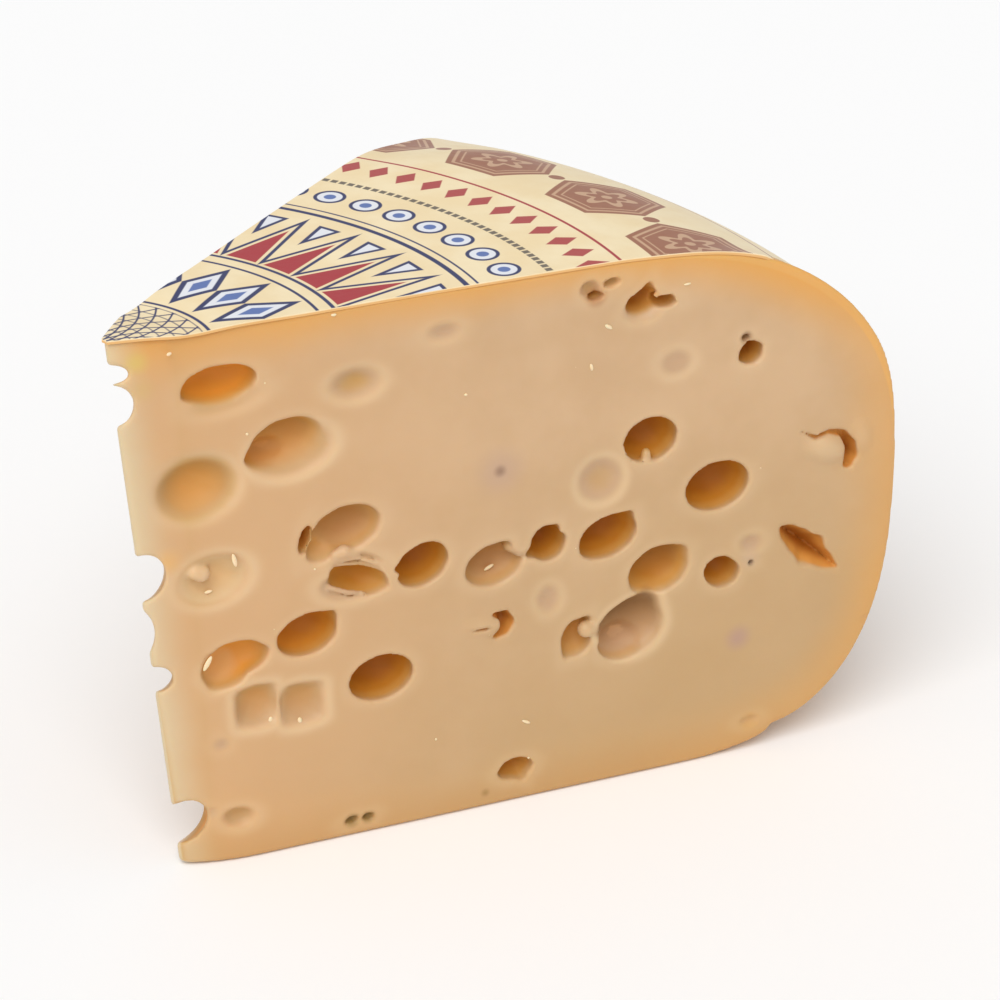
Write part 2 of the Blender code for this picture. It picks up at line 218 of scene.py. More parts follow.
# What the walls of the front eyes share
eyeWalls = {
    "cornerDepth": 5.0,             # a mouth's corners are gone this far in
    "wobble": 0.05,                 # how uneven the walls are, and the waves across, up and inwards
    "waves": (1.3, 1.7, 1.1),
    "reach": 1.3,                   # how far round an eye its cut is worked out
    "spare": 3.0,
}

# How colours follow the mouths, walls and tears of the front cut, with painted shade in the eyes and
# tears
eyeTints = {
    "rimAt": 0.7,                   # a pale line runs this far outside a mouth's edge
    "rimSpread": 1.1,
    "rimDepth": 1.6,
    "rimStrength": 0.22,
    "dishSpread": 1.0,              # round a dish it is stronger, by the dish's size
    "dishStrength": 0.16,
    "dishMost": 0.6,
    "dishDepth": 1.6,               # a dish with no tone of its own is grey down to here
    "edgeSpread": 1.3,              # near an edge the mesh keeps its faces
    "edgeDepth": 2.5,
    "insideFrom": 0.3,
    "insidePast": 3.0,
    # in the middle of an eye, how it changes upwards, and the least; the grey lies low, the painted
    # shade high
    "lowerTone": (0.75, -0.5, 0.2),
    "upperShading": (0.7, 0.5, 0.1),
    "shadeFrom": -0.1,
    "shadeUp": (0.6, 0.8),          # in the middle of an eye, and how it grows upwards
    "shadeTop": (1.15, 0.3),        # where it ends above, and over how much
    "shadePast": 1.0,
    "moundPale": 0.6,               # how pale a mound is for each mm that it stands out
    "moundReach": 1.3,
    "moundDepth": 0.3,
    # painted shade in the tears and the crack:
    "tearReach": (0.9, 0.8),        # how near a tear's middle its colour begins, and over how much
    "tearStart": (0.15, 0.7),
    "tearPast": 8.0,
}

# Tears, and strands and lumps of paste left standing: (along, depth, height, radius) down each
tears = {
    "curl": (
        (130.3, 0.0, 63.2, 0.15), (133.4, 0.0, 61.5, 0.4), (136.2, 0.0, 62.1, 0.45),
        (138.9, 0.2, 61.3, 0.65), (140.5, 0.5, 58.8, 1.1), (140.6, 0.6, 56.6, 1.4),
        (140.2, 0.4, 55.2, 1.0),
    ),
    "crescent": (
        (71.4, 0.0, 38.6, 0.4), (73.3, 0.3, 38.0, 1.1), (74.0, 0.6, 36.6, 1.25),
        (73.3, 0.4, 35.2, 1.1), (71.8, 0.0, 34.2, 0.5),
    ),
    "crescentScratch": ((70.2, 0.0, 36.1, 0.35), (66.6, 0.0, 36.3, 0.12)),
}
# how much deeper than wide a tear is, how soft its rim is, and how far round it the cut is worked out
tearShape = {"deepening": 2.6, "rim": 0.2, "spare": 4.5}

strands = {
    "tornBridge": ((42.4, 0.5, 56.1, 0.8), (44.0, 0.7, 56.4, 1.2), (46.0, 1.0, 55.4, 0.8)),
    "upperStrand": ((41.9, 0.5, 55.0, 0.45), (46.6, 0.8, 54.6, 0.4), (51.0, 0.6, 52.4, 0.35)),
    "lowerStrand": ((43.0, 1.1, 53.9, 0.4), (47.4, 1.4, 53.1, 0.35), (51.2, 1.1, 51.2, 0.3)),
    "tornFlap": ((41.2, 0.9, 49.9, 0.5), (44.4, 0.8, 48.4, 0.5), (47.6, 0.9, 47.5, 0.4)),
    "curlFlap": ((134.0, 0.9, 60.4, 0.8), (136.3, 0.7, 59.8, 1.3), (138.2, 0.6, 57.6, 1.0)),
    "crescentFlap": ((70.6, 0.5, 36.9, 0.5), (72.2, 0.4, 36.3, 0.6)),
    "hookBall": ((89.3, 0.8, 31.8, 1.6), (90.8, 1.2, 31.4, 1.2)),
    "clearPost": ((100.7, 1.4, 62.8, 0.95), (100.8, 1.6, 64.0, 0.85)),
    "flapLobe": ((76.6, 1.3, 49.9, 1.2), (74.6, 2.0, 50.8, 0.9)),
    "bump": ((18.8, 1.7, 56.9, 1.6), (17.7, 1.6, 57.4, 1.4)),
    "twinRidge": ((31.5, 1.0, 33.2, 0.4), (31.5, 1.3, 29.6, 0.35), (31.4, 1.0, 26.2, 0.4)),
    "heartTooth": ((101.7, 0.6, 94.2, 0.5), (102.4, 0.5, 94.9, 0.5)),
}
strandShape = {"join": 0.5, "spare": 3.0}

# Soft mounds that stand a little out of the cut: along, height, half width, half height, lean, rise
mounds = (
    (135.2, 59.2, 4.2, 2.4, -28, 0.8),
    (69.4, 37.0, 2.8, 1.3, -8, 0.3),
    (142.6, 60.5, 1.4, 2.6, 15, 0.3),
)
moundShape = {"fullness": -0.6, "join": 0.8, "spare": 2.0}

# A leaf-shaped crack whose two sides meet in a line
crack = {
    "start": (126.9, 44.9),
    "end": (139.0, 34.3),
    "upperWidth": 2.5,
    "lowerWidth": 3.3,
    "upperTaper": 0.3,              # how much narrower the upper side gets towards the end
    "pointedness": 2.2,
    "depth": 5.0,
    "endDepth": 0.35,               # how much of that depth the ends keep
    "unevenness": 0.35,
    "waves": (7.0, 13.0),           # a long one and a weaker short one along its edges
    "shortWave": 0.6,
    "steepness": 0.8,
    "rim": 0.3,
    "spare": 2.0,
    # how wide the painted shade along the crack is
    "shadeWidths": (0.6, 2.6, 0.6),  # at its start, middle and end
}

# Eyes that both cuts opened at the tip and that run back and down through it
tipEyes = {
    "rows": (
        (4.9, 96.6, 2.7, 1.5, 0),
        (5.0, 91.0, 3.2, 3.4, -25),
        (8.5, 58.8, 3.6, 4.2, -25),
        (7.5, 48.4, 2.3, 3.8, 0),
        (10.1, 39.0, 2.5, 2.2, 0),
        (13.4, 10.1, 4.6, 3.6, 38),
    ),
    "run": (0.287, 1.0, -0.471),    # the way they run, and how far behind the front cut they are centred
    "centre": 6.2,
    "reach": 15.0,
    "spare": 3.0,
    "rim": 0.6,
}

# Eyes of the back cut, which follow the same rule and draws as the part's source
backEyes = {
    "count": 27,
    "sizes": (2.2, 6.3, 4.6),
    "flatness": (0.7, 0.95),
    "fullness": (-0.45, 0.4),
    "depthShare": (0.35, 1.3),
    "spacing": 2.6,
    "margin": 5.0,
    "along": (9.0, 130.0),
    "outlineRadius": 150.0,         # as in the part's source
    "seed": 11,
    "drawsBefore": 32,              # one for each front eye that the source cuts first
    "lean": 20.0,
    "rim": 0.8,
    "dishRim": 2.0,                 # how much softer a dish's rim is
    "reach": 1.5,
    "spare": 3.0,
}

cheeseMesh = {
    "pitch": 0.44,
    "startX": 1.0,                  # where the grid of distances starts, and what it has to spare
    "spare": 1.5,
    "spareAngle": 1.5,
    "triangles": 196000,
    "keepDetail": 0.01,             # how strongly the rims keep their faces when faces are thinned out
    "keepAtRims": 0.75,             # and how many more there and on the front cut than elsewhere
    "keepInFront": 0.25,
    "frontDepth": 9.0,
    "keepLevels": 10,
    "sharpAngle": 60.0,
}

tiny = 1e-3                         # keeps divisions clear of nought


def bell(value, spread):
    return np.exp(-((value / spread) ** 2))


def between(ends, share):
    return ends[0] + share * (ends[1] - ends[0])


def within(value, ends):
    return (value > ends[0]) & (value < ends[1])


def smoothMax(first, second, blend):
    # The larger of two distances, with the edge between them rounded
    near = np.maximum(blend - np.abs(first - second), 0.0) / blend
    return np.maximum(first, second) + near * near * (blend / 4)


def smoothMin(first, second, blend):
    return -smoothMax(-first, -second, blend)


def topDip(x, y, z):
    radius = np.hypot(x, y)
    angle = np.degrees(np.arctan2(y, x))
    total = np.zeros_like(radius)
    for atRadius, atAngle, depth, radiusSpread, angleSpread in topDips:
        dip = depth * bell(radius - atRadius, radiusSpread)
        if atAngle is not None:
            dip = dip * bell(angle - atAngle, angleSpread)
        total = total + dip
    return total * np.clip((z - cheeseRound["dipsFrom"]) / cheeseRound["dipsOver"], 0.0, 1.0)


def shoulderOf(upper):
    kind = "upper" if upper else "lower"
    shoulder = cheeseRound[kind + "Shoulder"]
    rise = cheeseRound["height"] - cheeseRound["bellyHeight"] if upper else cheeseRound["bellyHeight"]
    return shoulder, rise, cheeseRound[kind + "Fullness"]


def eased(value):
    share = np.clip(value, 0.0, 1.0)
    return share * share * (3 - 2 * share)


def swellAt(radius, angle, z):
    across = eased((radius - swell["startRadius"]) / (swell["fullRadius"] - swell["startRadius"]))
    up = eased((z - swell["lowest"]) / (swell["fullHeight"] - swell["lowest"]))
    return swell["rise"] * np.exp(-np.maximum(angle, 0.0) / swell["angleSpread"]) * across * up


def roundDistance(x, y, z):
    # Signed distance to the turned outline, negative inside
    radius = np.hypot(x, y)
    above = z + topDip(x, y, z) - cheeseRound["bellyHeight"]
    parts = []
    for upper in (True, False):
        shoulder, rise, fullness = shoulderOf(upper)
        across = np.maximum(radius - (cheeseRound["radius"] - shoulder), 0.0) / shoulder
        up = np.abs(above) / rise
        reach = np.maximum((across ** fullness + up ** fullness) ** (1 / fullness), tiny)
        slopeAcross = (across / reach) ** (fullness - 1) / shoulder
        slopeUp = (up / reach) ** (fullness - 1) / rise
        parts.append((reach - 1) / np.sqrt(slopeAcross ** 2 + slopeUp ** 2))
    past = radius - cheeseRound["creaseRadius"]
    inner = cheeseRound["creaseWidth"] * cheeseRound["creaseInner"]
    outer = cheeseRound["creaseWidth"] * cheeseRound["creaseOuter"]
    crease = cheeseRound["creaseDepth"] * np.exp(-np.abs(past) / np.where(past < 0, inner, outer))
    low = np.clip(cheeseRound["creaseStrength"] - z / cheeseRound["creaseFade"], 0.0, 1.0)
    raised = swellAt(radius, np.degrees(np.arctan2(y, x)), z)
    return np.where(above > 0, parts[0] - raised, parts[1] + crease * low)


def tipCorners(z):
    # Front corner, point and back corner of the tip at this height
    share = z / wedgeCuts["loftHeight"]
    return [
        tuple(between(ends, share) for ends in zip(low, high))
        for low, high in zip(wedgeCuts["tipAtFoot"], wedgeCuts["tipAtTop"])
    ]


def backDepth(x, y, corner):
    # How far inside the back cut a point lies, where the cut passes through this corner
    turn = math.radians(wedgeCuts["angle"])
    return (x - corner[0]) * math.sin(turn) - (y - corner[1]) * math.cos(turn)


def ripple(x, z, seed):
    # A gentle unevenness between 0 and 1, of a few crossing waves
    draw = random.Random(seed)
    count = wedgeCuts["waveCount"]
    total = 0.0
    for _ in range(count):
        heading = draw.uniform(0, math.tau)
        size = math.tau / (wedgeCuts["waveLength"] * draw.uniform(*wedgeCuts["waveStretch"]))
        along = x * math.cos(heading) + z * math.sin(heading)
        total = total + np.sin(size * along + draw.uniform(0, math.tau))
    return 0.5 + total / (2 * count)


def wedgeDistance(x, y, z):
    # Signed distance to the front cut, the two small faces of the tip and the back cut
    wave = wedgeCuts["waveHeight"]
    frontSeed, backSeed = wedgeCuts["waveSeeds"]
    roundings = wedgeCuts["cornerRoundings"]
    corners = tipCorners(z)
    distance = wave * ripple(x, z, frontSeed) - y
    for start, end, rounding in zip(corners, corners[1:], roundings):
        runX = end[0] - start[0]
        runY = end[1] - start[1]
        side = ((y - start[1]) * runX - (x - start[0]) * runY) / np.hypot(runX, runY)
        distance = smoothMax(distance, side, rounding)
    side = wave * ripple(x, z, backSeed) - backDepth(x, y, corners[-1])
    return smoothMax(distance, side, roundings[-1])


def ballDistance(across, inward, up, halfWidth, halfHeight, depth, fullness):
    # A ball squashed and set back so that its mouth in the cut has the half sizes given
    reach = depth / (1 + fullness)
    spread = 1 / math.sqrt(1 - fullness ** 2)
    sizes = (halfWidth * spread, reach, halfHeight * spread)
    parts = (across, inward - fullness * reach, up)
    scaled = np.sqrt(sum((part / size) ** 2 for part, size in zip(parts, sizes)))
    slope = np.sqrt(sum((part / size ** 2) ** 2 for part, size in zip(parts, sizes)))
    return scaled * (scaled - 1) / np.maximum(slope, tiny)


class CheeseField:
    # Signed distances on a grid of points, cut and added to in small windows

    def __init__(self):
        pitch = cheeseMesh["pitch"]
        spare = cheeseMesh["spare"]
        widest = math.radians(wedgeCuts["angle"] + cheeseMesh["spareAngle"])
        high = (cheeseRound["radius"], cheeseRound["radius"] * math.sin(widest), cheeseRound["height"])
        self.pitch = pitch
        self.low = np.array((cheeseMesh["startX"], -spare - pitch / 2, -spare - pitch / 2), np.float32)
        self.axes = [
            np.arange(low, top + spare, pitch, dtype=np.float32) for low, top in zip(self.low, high)
        ]
        x, y, z = self.points((slice(None),) * 3)
        fromRise = np.hypot(x, y) - cheeseRound["footRiseRadius"]
        foot = cheeseRound["footRise"] * bell(fromRise, cheeseRound["footRiseWidth"]) - z
        body = smoothMax(roundDistance(x, y, z), foot, cheeseRound["footRounding"])
        body = smoothMax(body, wedgeDistance(x, y, z), wedgeCuts["edgeRounding"])
        self.values = body.astype(np.float32)

    def points(self, window):
        x, y, z = (axis[part] for axis, part in zip(self.axes, window))
        return x[:, None, None], y[None, :, None], z[None, None, :]

    def window(self, lows, highs):
        spans = []
        for axis, low, high in zip(self.axes, lows, highs):
            first = int(np.searchsorted(axis, low))
            last = int(np.searchsorted(axis, high))
            spans.append(slice(first, max(last, first + 2)))
        return tuple(spans)

    def around(self, centre, reach):
        return self.window([spot - reach for spot in centre], [spot + reach for spot in centre])

    def cut(self, window, distance, blend):
        self.values[window] = smoothMax(self.values[window], -distance, blend)

    def add(self, window, distance, blend):
        self.values[window] = smoothMin(self.values[window], distance, blend)


def leaned(across, up, lean):
    turn = math.radians(lean)
    return across * math.cos(turn) + up * math.sin(turn), up * math.cos(turn) - across * math.sin(turn)


def mouthScale(across, up, halfWidth, halfHeight, corners):
    # How far the mouth reaches in each direction, with 1 on the plain oval
    turn = np.degrees(np.arctan2(up / halfHeight, across / halfWidth))
    scale = 1.0
    for direction, push, spread in corners:
        apart = (turn - direction + 180) % 360 - 180
        scale = scale + push / halfWidth * bell(apart, spread)
    return scale


def cutFrontEyes(field):
    spare = eyeWalls["spare"]
    waveAcross, waveUp, waveIn = eyeWalls["waves"]
    for name, along, height, halfWidth, halfHeight, lean, depth, fullness, rim in frontEyes:
        reach = max(halfWidth, halfHeight) * eyeWalls["reach"] + rim + 1
        lows = (along - reach, -spare, height - reach)
        window = field.window(lows, (along + reach, depth + spare, height + reach))
        x, y, z = field.points(window)
        across, up = leaned(x - along, z - height, lean)
        scale = mouthScale(across, up, halfWidth, halfHeight, eyeCorners.get(name, ()))
        scale = 1 + (scale - 1) * np.clip(1 - y / eyeWalls["cornerDepth"], 0, 1)
        wobble = eyeWalls["wobble"] * np.sin(waveAcross * across + waveUp * up + along)
        wobble = wobble * np.sin(waveIn * y + height)
        distance = ballDistance(across / scale, y, up / scale, halfWidth, halfHeight, depth, fullness)
        field.cut(window, distance + wobble, rim)


def tubeDistance(x, y, z, points):
    # Distance to a chain of tapered rods
    distance = None
    for start, end in zip(points, points[1:]):
        run = [last - first for first, last in zip(start, end)]
        offsets = (x - start[0], y - start[1], z - start[2])
        size = sum(step ** 2 for step in run[:3])
        share = np.clip(sum(part * step for part, step in zip(offsets, run)) / size, 0, 1)
        away = np.sqrt(sum((part - share * step) ** 2 for part, step in zip(offsets, run)))
        rod = away - (start[3] + share * run[3])
        distance = rod if distance is None else np.minimum(distance, rod)
    return distance


def spanOf(field, points, spare):
    lows = [min(point[axis] for point in points) - spare for axis in range(3)]
    highs = [max(point[axis] for point in points) + spare for axis in range(3)]
    return field.window(lows, highs)


def cutTears(field):
    deepening = tearShape["deepening"]
    for points in tears.values():
        window = spanOf(field, points, tearShape["spare"])
        x, y, z = field.points(window)
        flat = [(along, depth / deepening, height, radius) for along, depth, height, radius in points]
        field.cut(window, tubeDistance(x, y / deepening, z, flat), tearShape["rim"])


def crackMiddle():
    return [(start + end) / 2 for start, end in zip(crack["start"], crack["end"])]


def cutCrack(field):
    middleX, middleZ = crackMiddle()
    runX, runZ = (end - start for start, end in zip(crack["start"], crack["end"]))
    half = math.hypot(runX, runZ) / 2
    turn = math.atan2(runZ, runX)
    window = field.around((middleX, 0.0, middleZ), half + crack["spare"])
    x, y, z = field.points(window)
    along = ((x - middleX) * math.cos(turn) + (z - middleZ) * math.sin(turn)) / half
    aside = (z - middleZ) * math.cos(turn) - (x - middleX) * math.sin(turn)
    room = np.clip(1 - np.abs(along) ** crack["pointedness"], 0, 1)
    longWave, shortWave = crack["waves"]
    waves = np.sin(longWave * along + 1) + crack["shortWave"] * np.sin(shortWave * along)
    uneven = crack["unevenness"] * waves * room
    above = aside > 0
    upperWidth = crack["upperWidth"] * room * (1 - crack["upperTaper"] * along)
    width = np.where(above, upperWidth, crack["lowerWidth"] * room)
    slope = np.clip(y, 0, None) / (crack["depth"] * between((crack["endDepth"], 1), room))
    # an overhang above the line where the sides meet, a slope below it
    narrowing = np.where(above, slope ** 2, slope)
    distance = (np.abs(aside) - (width + uneven) * (1 - narrowing)) * crack["steepness"]
    field.cut(window, np.maximum(distance, (np.abs(along) - 1) * half), crack["rim"])


def addMounds(field):
    fullness = moundShape["fullness"]
    for along, height, halfWidth, halfHeight, lean, rise in mounds:
        window = field.around((along, 0.0, height), halfWidth + moundShape["spare"])
        x, y, z = field.points(window)
        across, up = leaned(x - along, z - height, lean)
        distance = ballDistance(across, -y, up, halfWidth, halfHeight, rise, fullness)
        field.add(window, distance, moundShape["join"])


def addStrands(field):
    for points in strands.values():
        window = spanOf(field, points, strandShape["spare"])
        x, y, z = field.points(window)
        field.add(window, tubeDistance(x, y, z, points), strandShape["join"])


def backSpot(along, height):
    corner = tipCorners(height)[2]
    turn = math.radians(wedgeCuts["angle"])
    return corner[0] + along * math.cos(turn), corner[1] + along * math.sin(turn)


def insideOutline(radius, height, margin):
    upper = height >= cheeseRound["bellyHeight"]
    shoulder, rise, fullness = shoulderOf(upper)
    if upper:
        rise = wedgeCuts["loftHeight"] - cheeseRound["bellyHeight"]
    across = max(0.0, radius + margin - (backEyes["outlineRadius"] - shoulder)) / shoulder
    up = (abs(height - cheeseRound["bellyHeight"]) + margin) / rise
    return across ** fullness + up ** fullness < 1


def drawBackEyes(draw):
    smallest, largest, usual = backEyes["sizes"]
    taken = []
    while len(taken) < backEyes["count"]:
        halfWidth = draw.triangular(smallest, largest, usual)
        along = draw.uniform(*backEyes["along"])
        height = draw.uniform(0.0, wedgeCuts["loftHeight"])
        radius = math.hypot(*backSpot(along, height))
        if not insideOutline(radius, height, halfWidth + backEyes["margin"]):
            continue
        gaps = (math.hypot(along - other[0], height - other[1]) - other[2] for other in taken)
        if all(gap > halfWidth + backEyes["spacing"] for gap in gaps):
            taken.append((along, height, halfWidth))
    return taken


def cutBackEyes(field):
    draw = random.Random(backEyes["seed"])
    for _ in range(backEyes["drawsBefore"]):
        draw.random()
    turn = math.radians(wedgeCuts["angle"])
    for along, height, halfWidth in drawBackEyes(draw):
        share = draw.random()
        fullness = between(backEyes["fullness"], share)
        depth = halfWidth * between(backEyes["depthShare"], share)
        halfHeight = halfWidth * draw.uniform(*backEyes["flatness"])
        lean = draw.uniform(-backEyes["lean"], backEyes["lean"])
        draw.random()
        spotX, spotY = backSpot(along, height)
        reach = max(halfWidth * backEyes["reach"], depth) + backEyes["spare"]
        window = field.around((spotX, spotY, height), reach)
        x, y, z = field.points(window)
        # the cut is seen from behind, so that across runs the other way
        across = -((x - spotX) * math.cos(turn) + (y - spotY) * math.sin(turn))
        inward = backDepth(x, y, (spotX, spotY))
        across, up = leaned(across, z - height, lean)
        rim = backEyes["rim"] * (backEyes["dishRim"] if fullness < 0 else 1.0)
        field.cut(window, ballDistance(across, inward, up, halfWidth, halfHeight, depth, fullness), rim)


def cutTipEyes(field):
    run = Vector(tipEyes["run"])
    reach = tipEyes["reach"]
    aim = run.to_track_quat("Y", "Z").to_matrix()
    for along, height, halfWidth, halfHeight, lean in tipEyes["rows"]:
        centre = Vector((along, 0.0, height)) + run * tipEyes["centre"]
        turned = aim @ Matrix.Rotation(-math.radians(lean), 3, "Y")
        window = field.around(centre, reach + tipEyes["spare"])
        x, y, z = field.points(window)
        offsets = (x - centre.x, y - centre.y, z - centre.z)
        local = [sum(turned[row][column] * offsets[row] for row in range(3)) for column in range(3)]
        field.cut(window, ballDistance(*local, halfWidth, halfHeight, reach, 0.0), tipEyes["rim"])


def netSurface(values, low, pitch):
    # One vertex in each cell that the surface passes through, joined by quads across grid edges
    inside = values < 0
    shape = [size - 1 for size in values.shape]
    corners = [(i, j, k) for i in (0, 1) for j in (0, 1) for k in (0, 1)]

    def shifted(array, corner):
        return array[tuple(slice(step, step + size) for step, size in zip(corner, shape))]

    count = sum(shifted(inside, corner).astype(np.uint8) for corner in corners)
    crossed = (count > 0) & (count < 8)
    number = np.full(shape, -1, np.int32)
    number[crossed] = np.arange(int(crossed.sum()), dtype=np.int32)
    cells = np.argwhere(crossed)
    atCorner = {corner: shifted(values, corner)[crossed] for corner in corners}
    total = np.zeros((len(cells), 3), np.float32)
    hits = np.zeros(len(cells), np.float32)
    for start in corners:
        for axis in range(3):
            if start[axis]:
                continue
            end = tuple(1 if index == axis else step for index, step in enumerate(start))
            first = atCorner[start]
            second = atCorner[end]
            crossing = (first < 0) != (second < 0)
            share = np.where(crossing, first / np.where(crossing, first - second, 1), 0)
            for index in range(3):
                place = share if index == axis else start[index]
                total[:, index] += np.where(crossing, place, 0)
            hits += crossing
    vertices = (cells + total / hits[:, None]) * pitch + low
    quads = []
    for axis in range(3):
        others = [index for index in range(3) if index != axis]
        lower = [slice(1, -1)] * 3
        upper = [slice(1, -1)] * 3
        lower[axis] = slice(0, -1)
        upper[axis] = slice(1, None)
        enters = inside[tuple(lower)]
        leaves = inside[tuple(upper)]
        spots = np.argwhere(enters != leaves)
        for index in others:
            spots[:, index] += 1
        around = []
        for stepA, stepB in ((1, 1), (0, 1), (0, 0), (1, 0)):
            cell = spots.copy()
            cell[:, others[0]] -= stepA
            cell[:, others[1]] -= stepB
            around.append(number[cell[:, 0], cell[:, 1], cell[:, 2]])
        quad = np.stack(around, axis=1)
        flips = enters[enters != leaves] == (axis == 1)
        quad[flips] = quad[flips][:, ::-1]
        quads.append(quad)
    return vertices, np.concatenate(quads)


def meshFrom(name, vertices, faces):
    # Straight from arrays, because there are hundreds of thousands of faces
    sides = faces.shape[1]
    mesh = bpy.data.meshes.new(name)
    mesh.vertices.add(len(vertices))
    mesh.vertices.foreach_set("co", np.ascontiguousarray(vertices, np.float32).ravel())
    mesh.loops.add(faces.size)
    mesh.loops.foreach_set("vertex_index", np.ascontiguousarray(faces, np.int32).ravel())
    mesh.polygons.add(len(faces))
    mesh.polygons.foreach_set("loop_start", np.arange(0, faces.size, sides, dtype=np.int32))
    mesh.update(calc_edges=True)
    mesh.validate()
    return mesh


def linked(name, data):
    piece = bpy.data.objects.new(name, data)
    bpy.context.scene.collection.objects.link(piece)
    return piece


def vertexArray(mesh):
    places = np.empty(len(mesh.vertices) * 3, np.float32)
    mesh.vertices.foreach_get("co", places)
    return places.reshape(-1, 3)


def tearMask(x, y, z):
    # How far inside one of the tears or the crack a point lies
    spots = (crack["start"], crackMiddle(), crack["end"])
    leaf = [(along, 0.0, height, width) for (along, height), width in zip(spots, crack["shadeWidths"])]
    near = np.full(len(x), np.inf)
    for points in (*tears.values(), leaf):
        flat = [(along, 0.0, height, radius) for along, _, height, radius in points]
        near = np.minimum(near, tubeDistance(x, y * 0, z, flat))
    reach, over = eyeTints["tearReach"]
    start, rise = eyeTints["tearStart"]
    return eased((reach - near) / over) * eased((y - start) / rise) * (y < eyeTints["tearPast"])


def tonedBy(level, tone):
    # Stronger or weaker up an eye, between the least of it and 1
    middle, change, least = tone
    return np.clip(middle + change * level, least, 1)


def shadowIn(gap, level):
    # A shadow under the upper side of an eye's mouth
    middle, change = eyeTints["shadeUp"]
    top, over = eyeTints["shadeTop"]
    shadow = np.clip(eyeTints["shadeFrom"] - gap, 0, 1) * np.clip(middle + change * level, 0, 1)
    return shadow * np.clip((top - level) / over, 0, 1)


def eyeMasks(places):
    # Near the front cut's eyes: how far a point is paled by a rim, greyed inside an eye, darkened by
    # painted shade deep inside and under its upper side, and how close it is to an edge
    x, y, z = places.T
    edges, rims, dishes, shades = (np.zeros(len(places), np.float32) for _ in range(4))
    deepShades = tearMask(x, y, z)
    for along, height, halfWidth, halfHeight, lean, rise in mounds:
        across, up = leaned(x - along, z - height, lean)
        away = np.hypot(across / halfWidth, up / halfHeight)
        pale = eyeTints["moundPale"] * rise * eased(eyeTints["moundReach"] - away)
        rims = np.maximum(rims, pale * (y < eyeTints["moundDepth"]))
    for name, along, height, halfWidth, halfHeight, lean, depth, fullness, _ in frontEyes:
        size = min(halfWidth, halfHeight)
        across, up = leaned(x - along, z - height, lean)
        scale = mouthScale(across, up, halfWidth, halfHeight, eyeCorners.get(name, ()))
        gap = (np.hypot(across / halfWidth, up / halfHeight) / scale - 1) * size
        level = up / halfHeight
        strength = eyeTints["rimStrength"]
        spread = eyeTints["rimSpread"]
        isDish = fullness < 0
        if isDish:
            strength = min(eyeTints["dishMost"], size * eyeTints["dishStrength"])
            spread = eyeTints["dishSpread"]
        closeness = strength * bell(gap - eyeTints["rimAt"], spread) * bell(y, eyeTints["rimDepth"])
        rims = np.maximum(rims, closeness)
        edges = np.maximum(edges, bell(gap, eyeTints["edgeSpread"]) * bell(y, eyeTints["edgeDepth"]))
        inside = np.clip(eyeTints["insideFrom"] - gap, 0, 1) * (y < depth + eyeTints["insidePast"])
        rims = np.maximum(rims, inside * eyePales.get(name, 0.0))
        shadow = shadowIn(gap, level) * (y < depth + eyeTints["shadePast"])
        shades = np.maximum(shades, shadow * eyeShades.get(name, 0.0))
        tone = eyeTones.get(name, 0.0)
        if tone < 0:
            deepShades = np.maximum(deepShades, inside * tonedBy(level, eyeTints["upperShading"]) * -tone)
        elif tone > 0:
            dishes = np.maximum(dishes, inside * (tone * tonedBy(level, eyeTints["lowerTone"])))
        elif isDish:
            dishes = np.maximum(dishes, inside * np.clip(eyeTints["dishDepth"] - y, 0, 1))
    return rims, dishes * (1 - deepShades), deepShades, shades, np.maximum(edges, deepShades)


def thinned(mesh):
    # Collapses faces down to the limit, and keeps more of them at the rims
    piece = linked("thinning", mesh)
    keep = piece.vertex_groups.new(name="free")
    places = vertexArray(mesh)
    front = places[:, 1] < cheeseMesh["frontDepth"]
    free = 1 - cheeseMesh["keepAtRims"] * eyeMasks(places)[-1]
    free = np.clip(free - cheeseMesh["keepInFront"] * front, 0, 1)
    levels = cheeseMesh["keepLevels"]
    for level in range(levels + 1):
        chosen = np.flatnonzero(np.round(free * levels) == level)
        keep.add(chosen.tolist(), level / levels, "REPLACE")
    modifier = piece.modifiers.new("thin", "DECIMATE")
    modifier.ratio = min(1.0, cheeseMesh["triangles"] / (2 * len(mesh.polygons)))
    modifier.vertex_group = "free"
    modifier.vertex_group_factor = cheeseMesh["keepDetail"]
    modifier.use_collapse_triangulate = True
    result = bpy.data.meshes.new_from_object(piece.evaluated_get(bpy.context.evaluated_depsgraph_get()))
    bpy.data.objects.remove(piece)
    bpy.data.meshes.remove(mesh)
    return result


def setAttribute(mesh, name, values):
    # One number for each point, or one vector
    values = np.ascontiguousarray(values, np.float32)
    kind, key = ("FLOAT", "value") if values.ndim == 1 else ("FLOAT_VECTOR", "vector")
    attribute = mesh.attributes.new(name, kind, "POINT")
    attribute.data.foreach_set(key, values.ravel())


def finished(name, mesh, sharpAngle):
    mesh.name = name
    mesh.transform(cutFrameMatrix())
    mesh.shade_smooth()
    mesh.set_sharp_from_angle(angle=math.radians(sharpAngle))
    print(name + ":", len(mesh.polygons), "faces")
    return linked(name, mesh)


def makeCheese():
    field = CheeseField()
    cutFrontEyes(field)
    addMounds(field)
    cutCrack(field)
    addStrands(field)
    cutTears(field)
    cutBackEyes(field)
    cutTipEyes(field)
    vertices, quads = netSurface(field.values, field.low, field.pitch)
    print("cheese_wedge:", len(vertices), "points before thinning")
    mesh = thinned(meshFrom("cheese_wedge", vertices, quads))
    for name, values in zip(("rim", "dish", "deep", "shade"), eyeMasks(vertexArray(mesh))):
        setAttribute(mesh, name, values)
    return finished("cheese_wedge", mesh, cheeseMesh["sharpAngle"])


